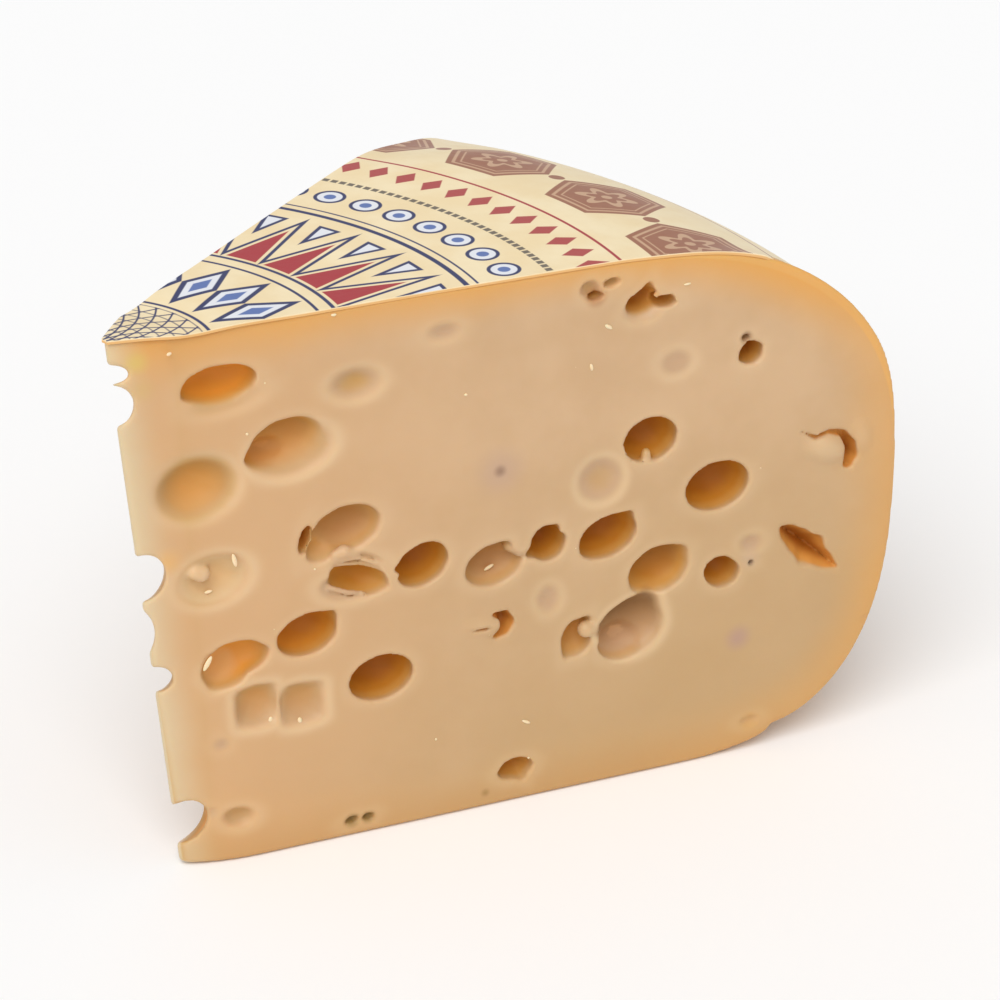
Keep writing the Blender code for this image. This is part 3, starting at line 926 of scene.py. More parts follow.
class Term:
    # Shader maths: a socket that Python's operators work on
    def __init__(self, finish, socket):
        self.finish = finish
        self.socket = socket

    def math(self, operation, *values):
        return self.finish.node("ShaderNodeMath", {"operation": operation}, values)

    def __add__(self, other):
        return self.math("ADD", self, other)

    __radd__ = __add__

    def __sub__(self, other):
        return self.math("SUBTRACT", self, other)

    def __rsub__(self, other):
        return self.math("SUBTRACT", other, self)

    def __mul__(self, other):
        return self.math("MULTIPLY", self, other)

    __rmul__ = __mul__

    def __truediv__(self, other):
        return self.math("DIVIDE", self, other)

    def __rtruediv__(self, other):
        return self.math("DIVIDE", other, self)

    def __pow__(self, other):
        return self.math("POWER", self, other)

    def __abs__(self):
        return self.math("ABSOLUTE", self)

    def least(self, other):
        return self.math("MINIMUM", self, other)

    def most(self, other):
        return self.math("MAXIMUM", self, other)

    def sine(self):
        return self.math("SINE", self)

    def fraction(self):
        return self.math("FRACT", self)

    def angleTo(self, other):
        # The direction of a point, from its place across and its place up
        return self.math("ARCTAN2", other, self)


class Finish:
    # One material and the nodes that it is built from
    def __init__(self, name):
        self.material = bpy.data.materials.new(name)
        self.material.use_nodes = True
        self.tree = self.material.node_tree
        self.tree.nodes.clear()

    def node(self, kind, settings=None, sockets=(), output=0):
        made = self.tree.nodes.new(kind)
        for key, value in (settings or {}).items():
            setattr(made, key, value)
        pairs = sockets.items() if isinstance(sockets, dict) else enumerate(sockets)
        for key, value in pairs:
            if isinstance(value, Term):
                self.tree.links.new(value.socket, made.inputs[key])
            else:
                made.inputs[key].default_value = value
        return Term(self, made.outputs[output]) if made.outputs else None

    def cutPlace(self):
        # Object coordinates turned into the cut's frame in millimetres
        inverse = cutFrameMatrix().inverted()
        coordinates = self.node("ShaderNodeTexCoord", output="Object")
        return self.node("ShaderNodeMapping", {"vector_type": "POINT"}, {
            "Vector": coordinates,
            "Location": inverse.translation,
            "Rotation": (0.0, 0.0, -math.radians(wedgeTurn)),
            "Scale": (1 / metresPerMm,) * 3,
        })

    def parts(self, vector):
        split = self.node("ShaderNodeSeparateXYZ", sockets={"Vector": vector})
        outputs = split.socket.node.outputs
        return [Term(self, outputs[axis]) for axis in "XYZ"]

    def blend(self, factor, under, over):
        # Colours, the second laid over the first
        sockets = {0: factor, 6: under, 7: over}
        return self.node("ShaderNodeMix", {"data_type": "RGBA"}, sockets, output=2)

    def fade(self, value, low, high):
        # 0 at low and 1 at high, with a soft start and end
        sockets = {"Value": value, "From Min": low, "From Max": high}
        return self.node("ShaderNodeMapRange", {"interpolation_type": "SMOOTHSTEP"}, sockets)

    def rise(self, value, span):
        # 0 at the span's start, and its amount where it is full
        start, full, amount = span
        return self.fade(value, start, full) * amount

    def stretched(self, vector, scale):
        return self.node("ShaderNodeVectorMath", {"operation": "MULTIPLY"}, [vector, scale])

    def noise(self, vector, scale, detail=2.0, roughness=0.5):
        return self.node("ShaderNodeTexNoise", {"noise_dimensions": "3D"}, {
            "Vector": vector, "Scale": scale, "Detail": detail, "Roughness": roughness,
        })

    def bump(self, relief, strength, distance):
        sockets = {"Strength": strength, "Distance": distance, "Height": relief}
        return self.node("ShaderNodeBump", sockets=sockets)

    def attribute(self, name, output="Fac"):
        return self.node("ShaderNodeAttribute", {"attribute_name": name}, output=output)

    def finishWith(self, sockets):
        shader = self.node("ShaderNodeBsdfPrincipled", sockets=sockets)
        self.node("ShaderNodeOutputMaterial", sockets={"Surface": shader})
        return self.material


def lengthOf(across, up):
    return (across * across + up * up) ** 0.5


def paint(red, green, blue):
    # An sRGB colour as the linear one that shaders take
    def linear(level):
        level /= 255
        return level / 12.92 if level <= 0.04045 else ((level + 0.055) / 1.055) ** 2.4

    return linear(red), linear(green), linear(blue), 1.0


pasteLook = {
    "paste": paint(209, 174, 135),
    "pasteDark": paint(202, 166, 126),
    # painted shade: darker towards the bottom
    "lowShade": paint(189, 155, 108),
    "pasteLeft": paint(210, 166, 119),
    "nearRind": paint(224, 162, 80),
    # painted shade at the foot
    "footShade": paint(178, 140, 94),
    # painted light near the thin tip
    "tipLight": paint(215, 199, 163),
    "rim": paint(227, 199, 158),
    "dish": paint(194, 158, 124),
    "rind": paint(218, 166, 94),
    "rindDark": paint(206, 150, 78),
    # painted light on the rind by the front cut
    "rindEdgeLight": paint(226, 171, 98),
    # painted shade deep in the eyes, the tears and the crack
    "deep": paint(212, 146, 66),
    "deepestShade": paint(162, 88, 16),
    "shade": paint(112, 74, 38),
    # painted shade down an eye's wall: darker and more orange by how far below the cut they lie in mm
    "wallShading": ((1.2, paint(197, 155, 97)), (2.6, paint(202, 146, 68)), (4.4, paint(197, 130, 38)),
             (6.6, paint(184, 113, 22))),
    "wallStart": 0.4,
    "wallLit": paint(234, 161, 62),
    "mottle": (0.06, 3.0, 0.6),     # noise: scale, detail, roughness
    "patches": (0.025, 2.0),
    "roughness": 0.43,
    "grainSize": 1.6,
    "grainRelief": 0.6,
    "grainRoughness": 0.06,
    "knifeMarks": (0.03, 1.0, 0.9),  # long along the cut, fine across it
    "knifeRelief": 0.8,
    "netPitch": 1.7,                # the fine net that the mould's cloth left on the rind
    "netRadius": 150.0,
    "netRelief": 1.5,
    "rindShare": 0.9,
    "bumpStrength": 0.35,
    "bumpDistance": 0.00008,
}

# Where each tint starts and where it is full, on what it follows, and how strong it is
pasteTints = {
    "pasteDark": (0.3, 0.72, 1.0),
    "lowShade": (58.0, -8.0, 0.8),
    "pasteLeft": (90.0, 20.0, 0.85),
    "footShade": (14.0, 2.0, 0.6),
    "tipLight": (10.0, 0.0, 0.9),
    "wallLit": (48.0, 26.0, 0.85),
    "wallLitDepth": (1.8, 4.4, 1.0),
    "wallDepth": (0.3, 1.6, 1.0),
    "wallRoughness": (0.5, 3.0, 0.12),
    "deepestShade": (1.6, 4.6, 1.0),
    "onFront": (2.5, 1.0, 1.0),
    "onRind": (0.55, 0.15, 1.0),
    "rindDark": (0.3, 0.9, 1.0),
    "rindEdgeLight": (10.0, 2.0, 0.8),
}
# How strongly the mesh's masks tint the paste, from the lowest layer up
maskTints = {"dish": 0.8, "deep": 0.9, "shade": 1.0, "rim": 0.7}

# The band of orange under the rind: strong at the top, weaker down the heel, faint at the foot
rindBand = {
    "width": 9.0,
    "widerAtTip": (60.0, 20.0, 3.0),
    "widerLow": (90.0, 60.0, 4.0),
    "waver": 8.0,                   # how far its inner edge wanders
    "edge": (1.0, -0.2, 1.0),
    "strength": 0.25,
    "atTop": (74.0, 94.0, 0.45),
    "aboveFoot": (4.0, 40.0, 0.3),
    "atHeel": (95.0, 125.0, 0.2),
    "lowAtHeel": (50.0, 20.0, 1.0),
    "depthScale": 50.0,             # turns the round's outline into millimetres, near enough
}

# Small spots of the front cut, stains and specks and painted shade in a few small holes: along, height,
# radius, softness, colour, strength
spotsAndHoleShade = (
    (72.7, 66.4, 3.2, 3.0, paint(190, 158, 138), 0.55),
    (72.6, 66.4, 0.7, 0.9, paint(140, 108, 88), 0.75),
    (119.2, 24.0, 1.2, 2.4, paint(176, 142, 132), 0.65),
    # a black speck over the tiny hole dotFar, its dark partly painted shade
    (121.3, 38.9, 0.5, 0.5, paint(70, 50, 40), 0.8),
    # painted shade in the small hole plumDrop
    (119.0, 83.4, 0.9, 0.8, paint(120, 76, 44), 0.7),
    (121.0, 40.0, 1.5, 1.8, paint(196, 166, 142), 0.35),
    # painted shade in the two small dots at the foot
    (44.2, 3.1, 1.1, 0.9, paint(132, 104, 46), 0.8),
    (47.3, 3.1, 1.0, 0.8, paint(132, 104, 46), 0.8),
    (9.3, 97.3, 1.6, 1.4, paint(214, 190, 96), 0.55),
    (10.0, 92.3, 1.4, 1.8, paint(206, 176, 104), 0.35),
    (13.0, 60.3, 1.7, 1.6, paint(226, 172, 96), 0.5),
    # painted shade in pairHole
    (90.3, 95.8, 1.6, 1.0, paint(160, 96, 44), 0.5),
    (69.6, 2.9, 0.6, 0.6, paint(150, 116, 60), 0.6),
    (122.0, 6.0, 1.5, 1.3, paint(208, 158, 84), 0.5),
)


def rindDepthOf(x, y, z):
    # About how far inside the turned outline a point lies, in millimetres
    radius = lengthOf(x, y)
    above = z - cheeseRound["bellyHeight"]
    levels = []
    for upper in (True, False):
        shoulder, rise, fullness = shoulderOf(upper)
        across = (radius - (cheeseRound["radius"] - shoulder)).most(0.0) / shoulder
        up = (above if upper else 0 - above).most(0.0) / rise
        levels.append((across ** fullness + up ** fullness) ** (1 / fullness))
    return (1 - levels[0].most(levels[1])) * rindBand["depthScale"]


def tipFaceDepth(x, y, z, index):
    # How far inside one of the tip's two small faces a point lies
    start, end = tipCorners(cheeseRound["height"] / 2)[index:index + 2]
    run = Vector((end[0] - start[0], end[1] - start[1])).normalized()
    foot = wedgeCuts["tipAtFoot"][index]
    top = wedgeCuts["tipAtTop"][index]
    startX, startY = (z * ((high - low) / wedgeCuts["loftHeight"]) + low for low, high in zip(foot, top))
    return (x - startX) * run.y - (y - startY) * run.x


def cheesePaste():
    finish = Finish("cheese_paste")

    def tint(name, value, under):
        return finish.blend(finish.rise(value, pasteTints[name]), under, pasteLook[name])

    place = finish.cutPlace()
    x, y, z = finish.parts(place)
    rindDepth = rindDepthOf(x, y, z)
    depth = y.least(backDepth(x, y, tipCorners(cheeseRound["height"] / 2)[2])).least(rindDepth)
    for index in (0, 1):
        depth = depth.least(tipFaceDepth(x, y, z, index))
    pointFoot = wedgeCuts["tipAtFoot"][1][0]
    fromPoint = x + z * ((pointFoot - wedgeCuts["tipAtTop"][1][0]) / wedgeCuts["loftHeight"]) - pointFoot
    mottle = finish.noise(place, *pasteLook["mottle"])
    patches = finish.noise(place, *pasteLook["patches"])
    colour = tint("pasteDark", mottle, pasteLook["paste"])
    # painted shade: darker towards the bottom
    colour = tint("lowShade", z * 0.8 - x * 0.25 + patches * 30, colour)
    colour = tint("pasteLeft", x + patches * 20, colour)
    # painted shade at the foot
    colour = tint("footShade", z + patches * 8, colour)
    width = finish.rise(x, rindBand["widerAtTip"]) + finish.rise(z, rindBand["widerLow"])
    fromRind = (rindDepth + (patches - 0.5) * rindBand["waver"]) / (width + rindBand["width"])
    band = finish.rise(fromRind, rindBand["edge"])
    strength = finish.rise(z, rindBand["atTop"]) + finish.rise(z, rindBand["aboveFoot"])
    strength = strength + finish.rise(x, rindBand["atHeel"]) * finish.rise(z, rindBand["lowAtHeel"])
    colour = finish.blend(band * (strength + rindBand["strength"]), colour, pasteLook["nearRind"])
    # painted light: paler near the tip, where light shows through the thin paste
    colour = tint("tipLight", fromPoint + mottle * 3, colour)
    # painted shade: the eye walls get darker and more orange further below the cut
    wallShading = colour
    start = pasteLook["wallStart"]
    for level, shade in pasteLook["wallShading"]:
        wallShading = finish.blend(finish.fade(depth, start, level), wallShading, shade)
        start = level
    # light comes through the thin end by the tip
    lit = finish.rise(x, pasteTints["wallLit"]) * finish.rise(depth, pasteTints["wallLitDepth"])
    wallShading = finish.blend(lit, wallShading, pasteLook["wallLit"])
    colour = finish.blend(finish.rise(depth, pasteTints["wallDepth"]), colour, wallShading)
    # the masks' tints: grey in dishes, painted shade deep in the eyes, tears and crack and under upper
    # sides, pale rims
    for name, strength in maskTints.items():
        over = tint("deepestShade", depth, pasteLook["deep"]) if name == "deep" else pasteLook[name]
        colour = finish.blend(finish.attribute(name) * strength, colour, over)
    onFront = finish.rise(y, pasteTints["onFront"])
    # stains and specks, and painted shade in a few small holes
    for along, height, radius, softness, shade, strength in spotsAndHoleShade:
        away = lengthOf(x - along, z - height)
        spot = finish.fade(away, radius + softness, max(radius - softness, 0.0)) * onFront
        colour = finish.blend(spot * strength, colour, shade)
    # the rind itself: waxy, with its net
    netAround = abs((x.angleTo(y) * (pasteLook["netRadius"] / pasteLook["netPitch"])).sine())
    netUp = abs(((z + lengthOf(x, y)) / pasteLook["netPitch"]).sine())
    net = netAround.least(netUp)
    onRind = finish.rise(rindDepth, pasteTints["onRind"])
    rind = tint("rindDark", mottle + net * 0.1, pasteLook["rind"])
    # painted light: the rind is lighter by the front cut, over the shaded strip of the swollen shoulder
    rind = tint("rindEdgeLight", y, rind)
    colour = finish.blend(onRind * pasteLook["rindShare"], colour, rind)
    grain = finish.noise(place, pasteLook["grainSize"], 4.0, 0.6)
    knife = finish.noise(finish.stretched(place, pasteLook["knifeMarks"]), 1.0, 2.0)
    relief = grain * pasteLook["grainRelief"] + knife * pasteLook["knifeRelief"]
    relief = relief + net * onRind * pasteLook["netRelief"]
    roughness = grain * pasteLook["grainRoughness"] + finish.rise(depth, pasteTints["wallRoughness"])
    return finish.finishWith({
        "Base Color": colour,
        "Roughness": roughness + pasteLook["roughness"],
        "Normal": finish.bump(relief, pasteLook["bumpStrength"], pasteLook["bumpDistance"]),
        "Specular IOR Level": 0.3,
        "Subsurface Weight": 0.25,
        "Subsurface Radius": (1.0, 0.6, 0.3),
        "Subsurface Scale": 0.0025,
    })


cheese = makeCheese()
cheese.data.materials.append(cheesePaste())
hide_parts("cheese")
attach(cheese, "root")

# The printed skin

skin = {
    "under": -0.3,                  # how far its two sides lie from the paste
    "over": 0.33,
    "footHeight": 76.0,
    "rows": 150,
    "columns": 90,
    "crowding": 1.3,                # its columns stand closer together by the front cut
    "outlinePoints": 400,
    "sharpAngle": 40.0,
    "inset": -0.01,                 # how far its cut edges stand back from the cuts
    "tipTrim": 1.2,                 # how much of its point is missing
    "sinksAt": 121.0,               # past this radius the swollen paste rises over it
    "sinksOver": 8.0,
    "sinksBehind": 2.5,
}


def upperOutline(count, offset, lowest):
    # Points down the outline, evenly spaced along it, from the tip of the top to the skin's foot
    shoulder, rise, fullness = shoulderOf(True)
    start = cheeseRound["radius"] - shoulder
    share = (lowest - cheeseRound["bellyHeight"]) / rise
    first = math.asin(share ** (fullness / 2))
    angles = np.linspace(math.pi / 2, first, skin["outlinePoints"])
    across = np.maximum(np.cos(angles), 0) ** (2 / fullness)
    up = np.sin(angles) ** (2 / fullness)
    normal = np.stack((across ** (fullness - 1) / shoulder, up ** (fullness - 1) / rise), axis=1)
    normal /= np.linalg.norm(normal, axis=1)[:, None]
    curve = np.stack((start + shoulder * across, cheeseRound["bellyHeight"] + rise * up), axis=1)
    tip = math.hypot(*wedgeCuts["tipAtTop"][1]) + skin["tipTrim"]
    curve = np.concatenate(([(tip, cheeseRound["height"])], curve))
    normal = np.concatenate(([(0.0, 1.0)], normal))
    lengths = np.concatenate(([0.0], np.cumsum(np.linalg.norm(np.diff(curve, axis=0), axis=1))))
    wanted = np.linspace(0, lengths[-1], count)
    table = np.concatenate((curve + normal * offset, normal), axis=1)
    columns = [np.interp(wanted, lengths, column) for column in table.T]
    return zip(*columns, wanted + tip)


def crossing(radius, start, end):
    # The angle at which the circle of this radius crosses the line from start to end
    line = Vector((end[0] - start[0], end[1] - start[1])).normalized()
    along = -(start[0] * line.x + start[1] * line.y)
    foot = (start[0] + along * line.x, start[1] + along * line.y)
    away = radius ** 2 - foot[0] ** 2 - foot[1] ** 2
    step = math.sqrt(max(away, 0.0))
    return math.atan2(foot[1] + step * line.y, foot[0] + step * line.x)


def skinSpan(radius, height):
    # The angles at which the skin starts and ends, set back a little from the cuts
    front, point, back = tipCorners(height)
    turn = math.radians(wedgeCuts["angle"])
    far = (back[0] + math.cos(turn), back[1] + math.sin(turn))
    start = max(crossing(radius, (0.0, 0.0), (1.0, 0.0)), crossing(radius, point, front))
    end = min(crossing(radius, back, far), crossing(radius, point, back))
    inset = skin["inset"] / radius
    return start + inset, max(end - inset, start + inset * 1.5)


def makeSkin():
    rows = skin["rows"]
    columns = skin["columns"]
    vertices = []
    plan = []
    for offset in (skin["over"], skin["under"]):
        for radius, height, outwards, upwards, length in upperOutline(rows, offset, skin["footHeight"]):
            # the paste swells up past the skin where the shoulder falls away
            sunk = eased((radius - skin["sinksAt"]) / skin["sinksOver"])
            first, last = skinSpan(radius, height)
            first += skin["sinksBehind"] * sunk / radius
            angles = first + (last - first) * np.linspace(0, 1, columns) ** skin["crowding"]
            raised = swellAt(radius, np.degrees(angles), height) * (1 - sunk)
            x = (radius + raised * outwards) * np.cos(angles)
            y = (radius + raised * outwards) * np.sin(angles)
            z = height + raised * upwards - topDip(x, y, height)
            vertices.append(np.stack((x, y, z), axis=1))
            outer = np.full(columns, offset > 0, float)
            plan.append(np.stack((length * np.cos(angles), length * np.sin(angles), outer), axis=1))
    grid = np.arange(rows * columns).reshape(rows, columns)
    over = np.stack((grid[:-1, :-1], grid[1:, :-1], grid[1:, 1:], grid[:-1, 1:]), axis=-1).reshape(-1, 4)
    under = over[:, ::-1] + rows * columns
    border = np.concatenate((grid[0, :-1], grid[:-1, -1], grid[-1, :0:-1], grid[:0:-1, 0]))
    after = np.roll(border, -1)
    sides = np.stack((border, after, after + rows * columns, border + rows * columns), axis=1)
    mesh = meshFrom("printed_skin", np.concatenate(vertices), np.concatenate((over, under, sides)))
    setAttribute(mesh, "plan", np.concatenate(plan))
    return finished("printed_skin", mesh, skin["sharpAngle"])


# The print: a made-up pattern in rings round the axis, over the whole sector
skinLook = {
    "paper": paint(243, 220, 174),
    "paperPale": paint(248, 230, 190),
    "navy": paint(42, 50, 98),
    "red": paint(172, 48, 56),
    "white": paint(232, 234, 240),
    "blue": paint(92, 116, 176),
    "brown": paint(160, 104, 76),
    "brownPale": paint(206, 166, 132),
    "black": paint(54, 50, 56),
    "softness": 0.12,
    "roughness": 0.34,
    "crinkleRoughness": 0.12,
    "edgeShare": 0.8,               # below its top the cut edge looks like the paste
    "bumpStrength": 0.3,
    "bumpDistance": 0.0003,
}

# Its bands from the tip outwards: the radius, how many cells share the wedge, how far round they are
# shifted, and sizes in mm
bands = {
    "lattice": {"reach": 20.5, "count": 4, "pitch": 5.0, "ringPitch": 2.4, "half": 0.17, "rings": 0.7},
    "lozenges": {
        "radius": 31.0, "count": 3, "shift": 0.0, "size": (3.1, 7.2), "heart": 1.35, "line": 0.42,
    },
    "pennants": {
        "radius": 53.0, "count": 4, "shift": 0.0, "size": (4.3, 20.0), "inset": 1.0, "line": 0.36,
    },
    "flags": {"radius": 58.5, "count": 4, "shift": 0.5, "size": (2.4, 9.0), "inset": 0.75},
    "beads": {"radius": 75.0, "count": 7, "shift": 0.0, "size": 2.6, "heart": 1.1, "line": 0.34},
    "dashes": {"radius": 81.8, "count": 34, "shift": 0.0, "size": 0.62, "strength": 0.85},
    "redLozenges": {"radius": 89.5, "count": 11, "shift": 0.5, "size": (1.9, 3.1), "strength": 0.95},
    "medals": {
        "radius": 110.0, "count": 3, "shift": 0.32, "size": 9.6,
        "lines": ((1.3, 0.3), (2.6, 0.16)),
        "petals": 6, "petalHeight": 1.3, "flower": 4.4, "flowerInside": 2.9, "insideShare": 0.6,
        "heart": 1.0,
    },
    "studs": {"radius": 110.0, "count": 3, "shift": 0.82, "size": 1.5},
}

# Plain rings: radius, half width, colour
rings = (
    (21.5, 0.3, "navy"),
    (40.2, 0.3, "navy"),
    (66.6, 0.5, "navy"),
    (68.6, 0.22, "navy"),
    (94.6, 0.3, "red"),
    (127.5, 0.3, "brown"),
)


class Print(Finish):
    # Shapes laid over the paper's colour, each from a distance in millimetres
    def start(self, paper):
        x, y, outer = self.parts(self.attribute("plan", output="Vector"))
        self.colour = paper
        self.outside = self.fade(outer, 0.9, 0.98)
        self.edge = self.fade(outer, 0.9, 0.5)
        self.radius = lengthOf(x, y)
        self.angle = x.angleTo(y)

    def cell(self, name):
        # A band, and the place within one of its cells: across, and outwards
        band = bands[name]
        spacing = math.radians(wedgeCuts["angle"]) / band["count"]
        share = (self.angle / spacing + band["shift"]).fraction() - 0.5
        return band, share * spacing * self.radius, self.radius - band["radius"]

    def spiral(self, count, pitch):
        # Fine lines that cross the wedge in a spiral, or rings where count is 0
        turns = count / math.radians(wedgeCuts["angle"])
        phase = self.angle * turns + self.radius / pitch
        slope = ((turns / self.radius) ** 2 + 1 / pitch ** 2) ** 0.5
        return abs(phase.fraction() - 0.5) / slope - bands["lattice"]["half"]

    def fill(self, distance, colour, strength=1.0):
        soft = skinLook["softness"]
        share = self.fade(distance, soft, -soft) * self.outside * strength
        self.colour = self.blend(share, self.colour, skinLook[colour])

    def line(self, distance, colour, half):
        self.fill(abs(distance) - half, colour)


def lozenge(across, out, halfWidth, halfHeight):
    return (abs(across) / halfWidth + abs(out) / halfHeight - 1) * (halfWidth * 0.8)


def hexagon(across, out, size):
    slant = math.radians(30)
    return (abs(across) * math.cos(slant) + abs(out) * math.sin(slant)).most(abs(out)) - size


def triangle(across, out, halfWidth, height):
    slope = math.hypot(halfWidth, height)
    side = (abs(across) * height + (out - height / 2) * halfWidth) / slope
    return side.most(0 - out - height / 2)


def printLattice(finish):
    band = bands["lattice"]
    inTip = finish.radius - band["reach"]
    for sense in (1, -1):
        finish.fill(finish.spiral(band["count"], band["pitch"] * sense).most(inTip), "navy")
    finish.fill(finish.spiral(0, band["ringPitch"]).most(inTip), "navy", band["rings"])


def printLozenges(finish):
    # white with a blue heart
    band, across, out = finish.cell("lozenges")
    body = lozenge(across, out, *band["size"])
    finish.fill(body, "white")
    finish.fill(body + band["heart"], "blue")
    finish.line(body, "navy", band["line"])


def printPennants(finish):
    # tall red pennants with navy outlines, and small ones between them
    band, across, out = finish.cell("pennants")
    body = triangle(across, out, *band["size"])
    finish.fill(body + band["inset"], "red")
    finish.line(body, "navy", band["line"])
    band, across, out = finish.cell("flags")
    body = triangle(across, 0 - out, *band["size"])
    finish.fill(body, "navy")
    finish.fill(body + band["inset"], "white")


def printBeads(finish):
    band, across, out = finish.cell("beads")
    away = lengthOf(across, out)
    finish.fill(away - band["size"], "white")
    finish.line(away - band["size"], "navy", band["line"])
    finish.fill(away - band["heart"], "blue")


def printSmallMarks(finish):
    # fine black dashes, then small red lozenges
    band, across, out = finish.cell("dashes")
    finish.fill(abs(across).most(abs(out)) - band["size"], "black", band["strength"])
    band, across, out = finish.cell("redLozenges")
    finish.fill(lozenge(across, out, *band["size"]), "red", band["strength"])


def printMedals(finish):
    # six-sided medals with a flower of petals, and studs between them
    band, across, out = finish.cell("medals")
    body = hexagon(across, out, band["size"])
    away = lengthOf(across, out)
    petals = (across.angleTo(out) * band["petals"]).sine() * band["petalHeight"]
    finish.fill(body, "brown")
    for inset, half in band["lines"]:
        finish.line(body + inset, "brownPale", half)
    finish.fill(away - band["flower"] - petals, "brownPale")
    finish.fill(away - band["flowerInside"] - petals * band["insideShare"], "brown")
    finish.fill(away - band["heart"], "brownPale")
    band, across, out = finish.cell("studs")
    finish.fill(lengthOf(across, out) - band["size"], "brown")


def printedSkin():
    finish = Print("printed_skin")
    place = finish.cutPlace()
    mottle = finish.fade(finish.noise(place, 0.12, 3.0), 0.3, 0.75)
    finish.start(finish.blend(mottle, skinLook["paper"], skinLook["paperPale"]))
    for layer in (printLattice, printLozenges, printPennants, printBeads, printSmallMarks, printMedals):
        layer(finish)
    for radius, half, colour in rings:
        finish.line(finish.radius - radius, colour, half)
    colour = finish.blend(finish.edge * skinLook["edgeShare"], finish.colour, pasteLook["nearRind"])
    crinkle = finish.noise(place, 0.35, 3.0, 0.55)
    return finish.finishWith({
        "Base Color": colour,
        "Roughness": crinkle * skinLook["crinkleRoughness"] + skinLook["roughness"],
        "Normal": finish.bump(crinkle, skinLook["bumpStrength"], skinLook["bumpDistance"]),
    })


label = makeSkin()
label.data.materials.append(printedSkin())
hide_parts("label")
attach(label, "root")


# Crumbs on the cuts, and the pale flecks of the front cut, some of them painted highlights

crumbs = {
    "density": 1600.0,              # on a square metre of cut
    "smallest": 0.00008,
    "largest": 0.00026,
    "squash": (0.6, 1.3),
    "seed": 4,
    "radii": (12.0, 132.0),         # they lie clear of the tip, the rind, the foot and the top
    "heights": (6.0, 96.0),
    "nearCut": 0.4,
}

# along, height, depth, half length, half width, lean
flecks = (
    (14.6, 98.5, 0.0, 0.45, 0.3, 20),
    (43.0, 100.6, 0.0, 0.5, 0.25, 0),
    (92.6, 90.0, 0.0, 0.8, 0.35, -35),
    (89.5, 83.0, 0.0, 0.3, 0.7, 12),
    (66.3, 82.0, 0.0, 0.3, 0.25, 0),
    (107.3, 95.5, 0.0, 0.7, 0.2, 5),
    (71.7, 46.5, 3.2, 1.0, 0.35, 25),
    # painted highlights: glints on wet eye walls, as pale flecks
    (24.4, 58.8, 0.3, 0.4, 1.3, 12),
    (20.0, 53.1, 1.6, 0.7, 0.3, 8),
    (77.5, 15.8, 0.0, 0.9, 0.3, -30),
    # painted highlight: a glint on the wet eye's wall, as a pale fleck
    (18.9, 40.2, 0.2, 0.45, 1.5, -30),
    (30.0, 26.3, 0.9, 0.4, 0.7, 0),
    (35.3, 25.1, 0.9, 0.4, 0.6, 10),
)
fleckThickness = 0.22


def crumbTree(finish):
    tree = bpy.data.node_groups.new("crumbs_on_cuts", "GeometryNodeTree")
    tree.is_modifier = True
    sockets = (
        ("Geometry", "INPUT", "Geometry"), ("Density", "INPUT", "Float"), ("Smallest", "INPUT", "Float"),
        ("Largest", "INPUT", "Float"), ("Seed", "INPUT", "Int"), ("Geometry", "OUTPUT", "Geometry"),
    )
    for name, side, kind in sockets:
        tree.interface.new_socket(name, in_out=side, socket_type="NodeSocket" + kind)

    def node(kind, sockets=(), **settings):
        made = tree.nodes.new(kind)
        for key, value in settings.items():
            setattr(made, key, value)
        for key, value in dict(sockets).items():
            if isinstance(value, bpy.types.NodeSocket):
                tree.links.new(value, made.inputs[key])
            else:
                made.inputs[key].default_value = value
        return made

    inputs = node("NodeGroupInput").outputs
    share = node("GeometryNodeInputNamedAttribute", {"Name": "crumbShare"}, data_type="FLOAT")
    density = node("ShaderNodeMath", {0: inputs["Density"], 1: share.outputs[0]}, operation="MULTIPLY")
    spread = node("GeometryNodeDistributePointsOnFaces", {
        "Mesh": inputs["Geometry"], "Density": density.outputs[0], "Seed": inputs["Seed"],
    })
    crumb = node("GeometryNodeMeshIcoSphere", {"Radius": 1.0, "Subdivisions": 2})
    turn = node("FunctionNodeRandomValue", {1: (math.tau,) * 3, "Seed": 1}, data_type="FLOAT_VECTOR")
    sizes = {2: inputs["Smallest"], 3: inputs["Largest"], "Seed": 2}
    size = node("FunctionNodeRandomValue", sizes, data_type="FLOAT")
    flattest, longest = crumbs["squash"]
    squashes = {0: (flattest,) * 3, 1: (longest,) * 3, "Seed": 3}
    squash = node("FunctionNodeRandomValue", squashes, data_type="FLOAT_VECTOR")
    scales = {0: squash.outputs[0], "Scale": size.outputs[1]}
    scale = node("ShaderNodeVectorMath", scales, operation="SCALE")
    placed = node("GeometryNodeInstanceOnPoints", {
        "Points": spread.outputs["Points"],
        "Instance": crumb.outputs["Mesh"],
        "Rotation": turn.outputs[0],
        "Scale": scale.outputs[0],
    })
    real = node("GeometryNodeRealizeInstances", {"Geometry": placed.outputs[0]})
    finished = node("GeometryNodeSetMaterial", {"Geometry": real.outputs[0], "Material": finish})
    node("NodeGroupOutput", {"Geometry": finished.outputs[0]})
    return tree


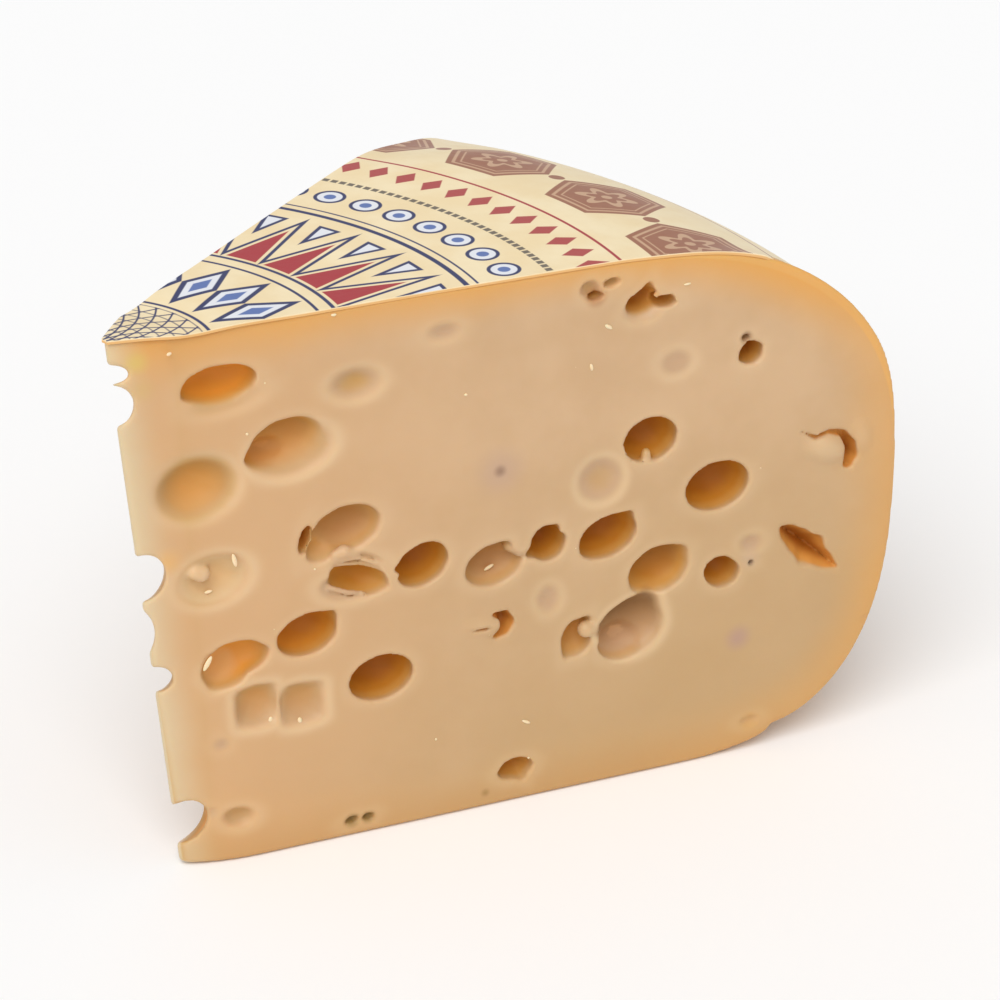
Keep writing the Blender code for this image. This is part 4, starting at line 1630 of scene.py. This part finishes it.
def scatterCrumbs(source, finish):
    piece = linked("crumbs", source.data.copy())
    inverse = np.array(cutFrameMatrix().inverted())
    x, y, z = (vertexArray(piece.data) @ inverse[:3, :3].T + inverse[:3, 3]).T
    clear = within(np.hypot(x, y), crumbs["radii"]) & within(z, crumbs["heights"])
    onCut = (y < crumbs["nearCut"]) | (backDepth(x, y, tipCorners(z)[2]) < crumbs["nearCut"])
    setAttribute(piece.data, "crumbShare", clear & onCut)
    tree = crumbTree(finish)
    modifier = piece.modifiers.new("crumbs", "NODES")
    modifier.node_group = tree
    for item in tree.interface.items_tree:
        if item.in_out == "INPUT" and item.name.lower() in crumbs:
            modifier[item.identifier] = crumbs[item.name.lower()]
    evaluated = piece.evaluated_get(bpy.context.evaluated_depsgraph_get())
    result = bpy.data.meshes.new_from_object(evaluated)
    result.name = "crumbs"
    piece.modifiers.clear()
    piece.data = result
    result.shade_smooth()
    return piece


def makeFlecks(finish):
    bm = bmesh.new()
    for along, height, depth, halfLength, halfWidth, lean in flecks:
        place = Matrix.Translation((along, depth, height)) @ Matrix.Rotation(-math.radians(lean), 4, "Y")
        shape = cutFrameMatrix() @ place @ Matrix.Diagonal((halfLength, fleckThickness, halfWidth, 1.0))
        bmesh.ops.create_icosphere(bm, subdivisions=3, radius=1.0, matrix=shape)
    mesh = bpy.data.meshes.new("flecks")
    bm.to_mesh(mesh)
    bm.free()
    mesh.shade_smooth()
    mesh.materials.append(finish)
    return linked("flecks", mesh)


# pale curd for the crumbs and flecks, and for the painted highlights among the flecks
def paleCurdAndGlints():
    finish = Finish("pale_curd_and_glints")
    place = finish.cutPlace()
    colour = finish.blend(finish.noise(place, 3.0), paint(246, 226, 190), paint(234, 204, 156))
    return finish.finishWith({
        "Base Color": colour, "Roughness": 0.35, "Subsurface Weight": 0.2, "Subsurface Scale": 0.001,
    })


paleFinish = paleCurdAndGlints()
for piece in (scatterCrumbs(cheese, paleFinish), makeFlecks(paleFinish)):
    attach(piece, "root")
    print(piece.name + ":", len(piece.data.polygons), "faces")

# The stage: camera, floor, lights

studio = {
    "cameraSpot": (-137.61, -504.99, 334.20),
    "cameraRight": (0.92300, -0.38480, -0.00136),
    "cameraUp": (0.17310, 0.41206, 0.89457),
    "lens": 127.98,
    "sensor": 36.0,
    "cameraReach": 50.0,
    "floorSize": 8.0,
    "floorDrop": 0.0001,
    "floor": paint(250, 250, 250),
    "world": (1.0, 1.0, 1.0, 1.0),
    "worldStrength": 0.53,
    "sunFrom": (-0.55, -0.38, 0.78),
    "sunSpread": 50.0,
    "sunStrength": 2.05,
}


def placeCamera():
    right = Vector(studio["cameraRight"]).normalized()
    up = Vector(studio["cameraUp"])
    back = right.cross(up).normalized()
    turn = Matrix((right, back.cross(right), back)).transposed().to_4x4()
    placed = cutFrameMatrix() @ Matrix.Translation(Vector(studio["cameraSpot"])) @ turn
    location, rotation, _ = placed.decompose()
    camera = bpy.data.cameras.new("camera")
    camera.lens = studio["lens"]
    camera.sensor_width = studio["sensor"]
    camera.clip_end = studio["cameraReach"]
    holder = linked("camera", camera)
    holder.location = location
    holder.rotation_euler = rotation.to_euler()
    bpy.context.scene.camera = holder


def placeFloor():
    half = studio["floorSize"] / 2
    corners = ((-half, -half), (half, -half), (half, half), (-half, half))
    mesh = bpy.data.meshes.new("floor")
    mesh.from_pydata([(x, y, -studio["floorDrop"]) for x, y in corners], [], [(0, 1, 2, 3)])
    floor = linked("floor", mesh)
    finish = Finish("studio_floor")
    mesh.materials.append(finish.finishWith({"Base Color": studio["floor"], "Roughness": 0.9}))


def placeLights():
    lamp = bpy.data.lights.new("window", "SUN")
    lamp.energy = studio["sunStrength"]
    lamp.angle = math.radians(studio["sunSpread"])
    holder = linked("window", lamp)
    holder.rotation_euler = (-Vector(studio["sunFrom"])).to_track_quat("-Z", "Y").to_euler()
    world = bpy.data.worlds.new("studio")
    world.use_nodes = True
    background = world.node_tree.nodes["Background"]
    background.inputs["Color"].default_value = studio["world"]
    background.inputs["Strength"].default_value = studio["worldStrength"]
    bpy.context.scene.world = world
    bpy.context.scene.view_settings.view_transform = "Standard"


placeCamera()
placeFloor()
placeLights()
print("stage set")
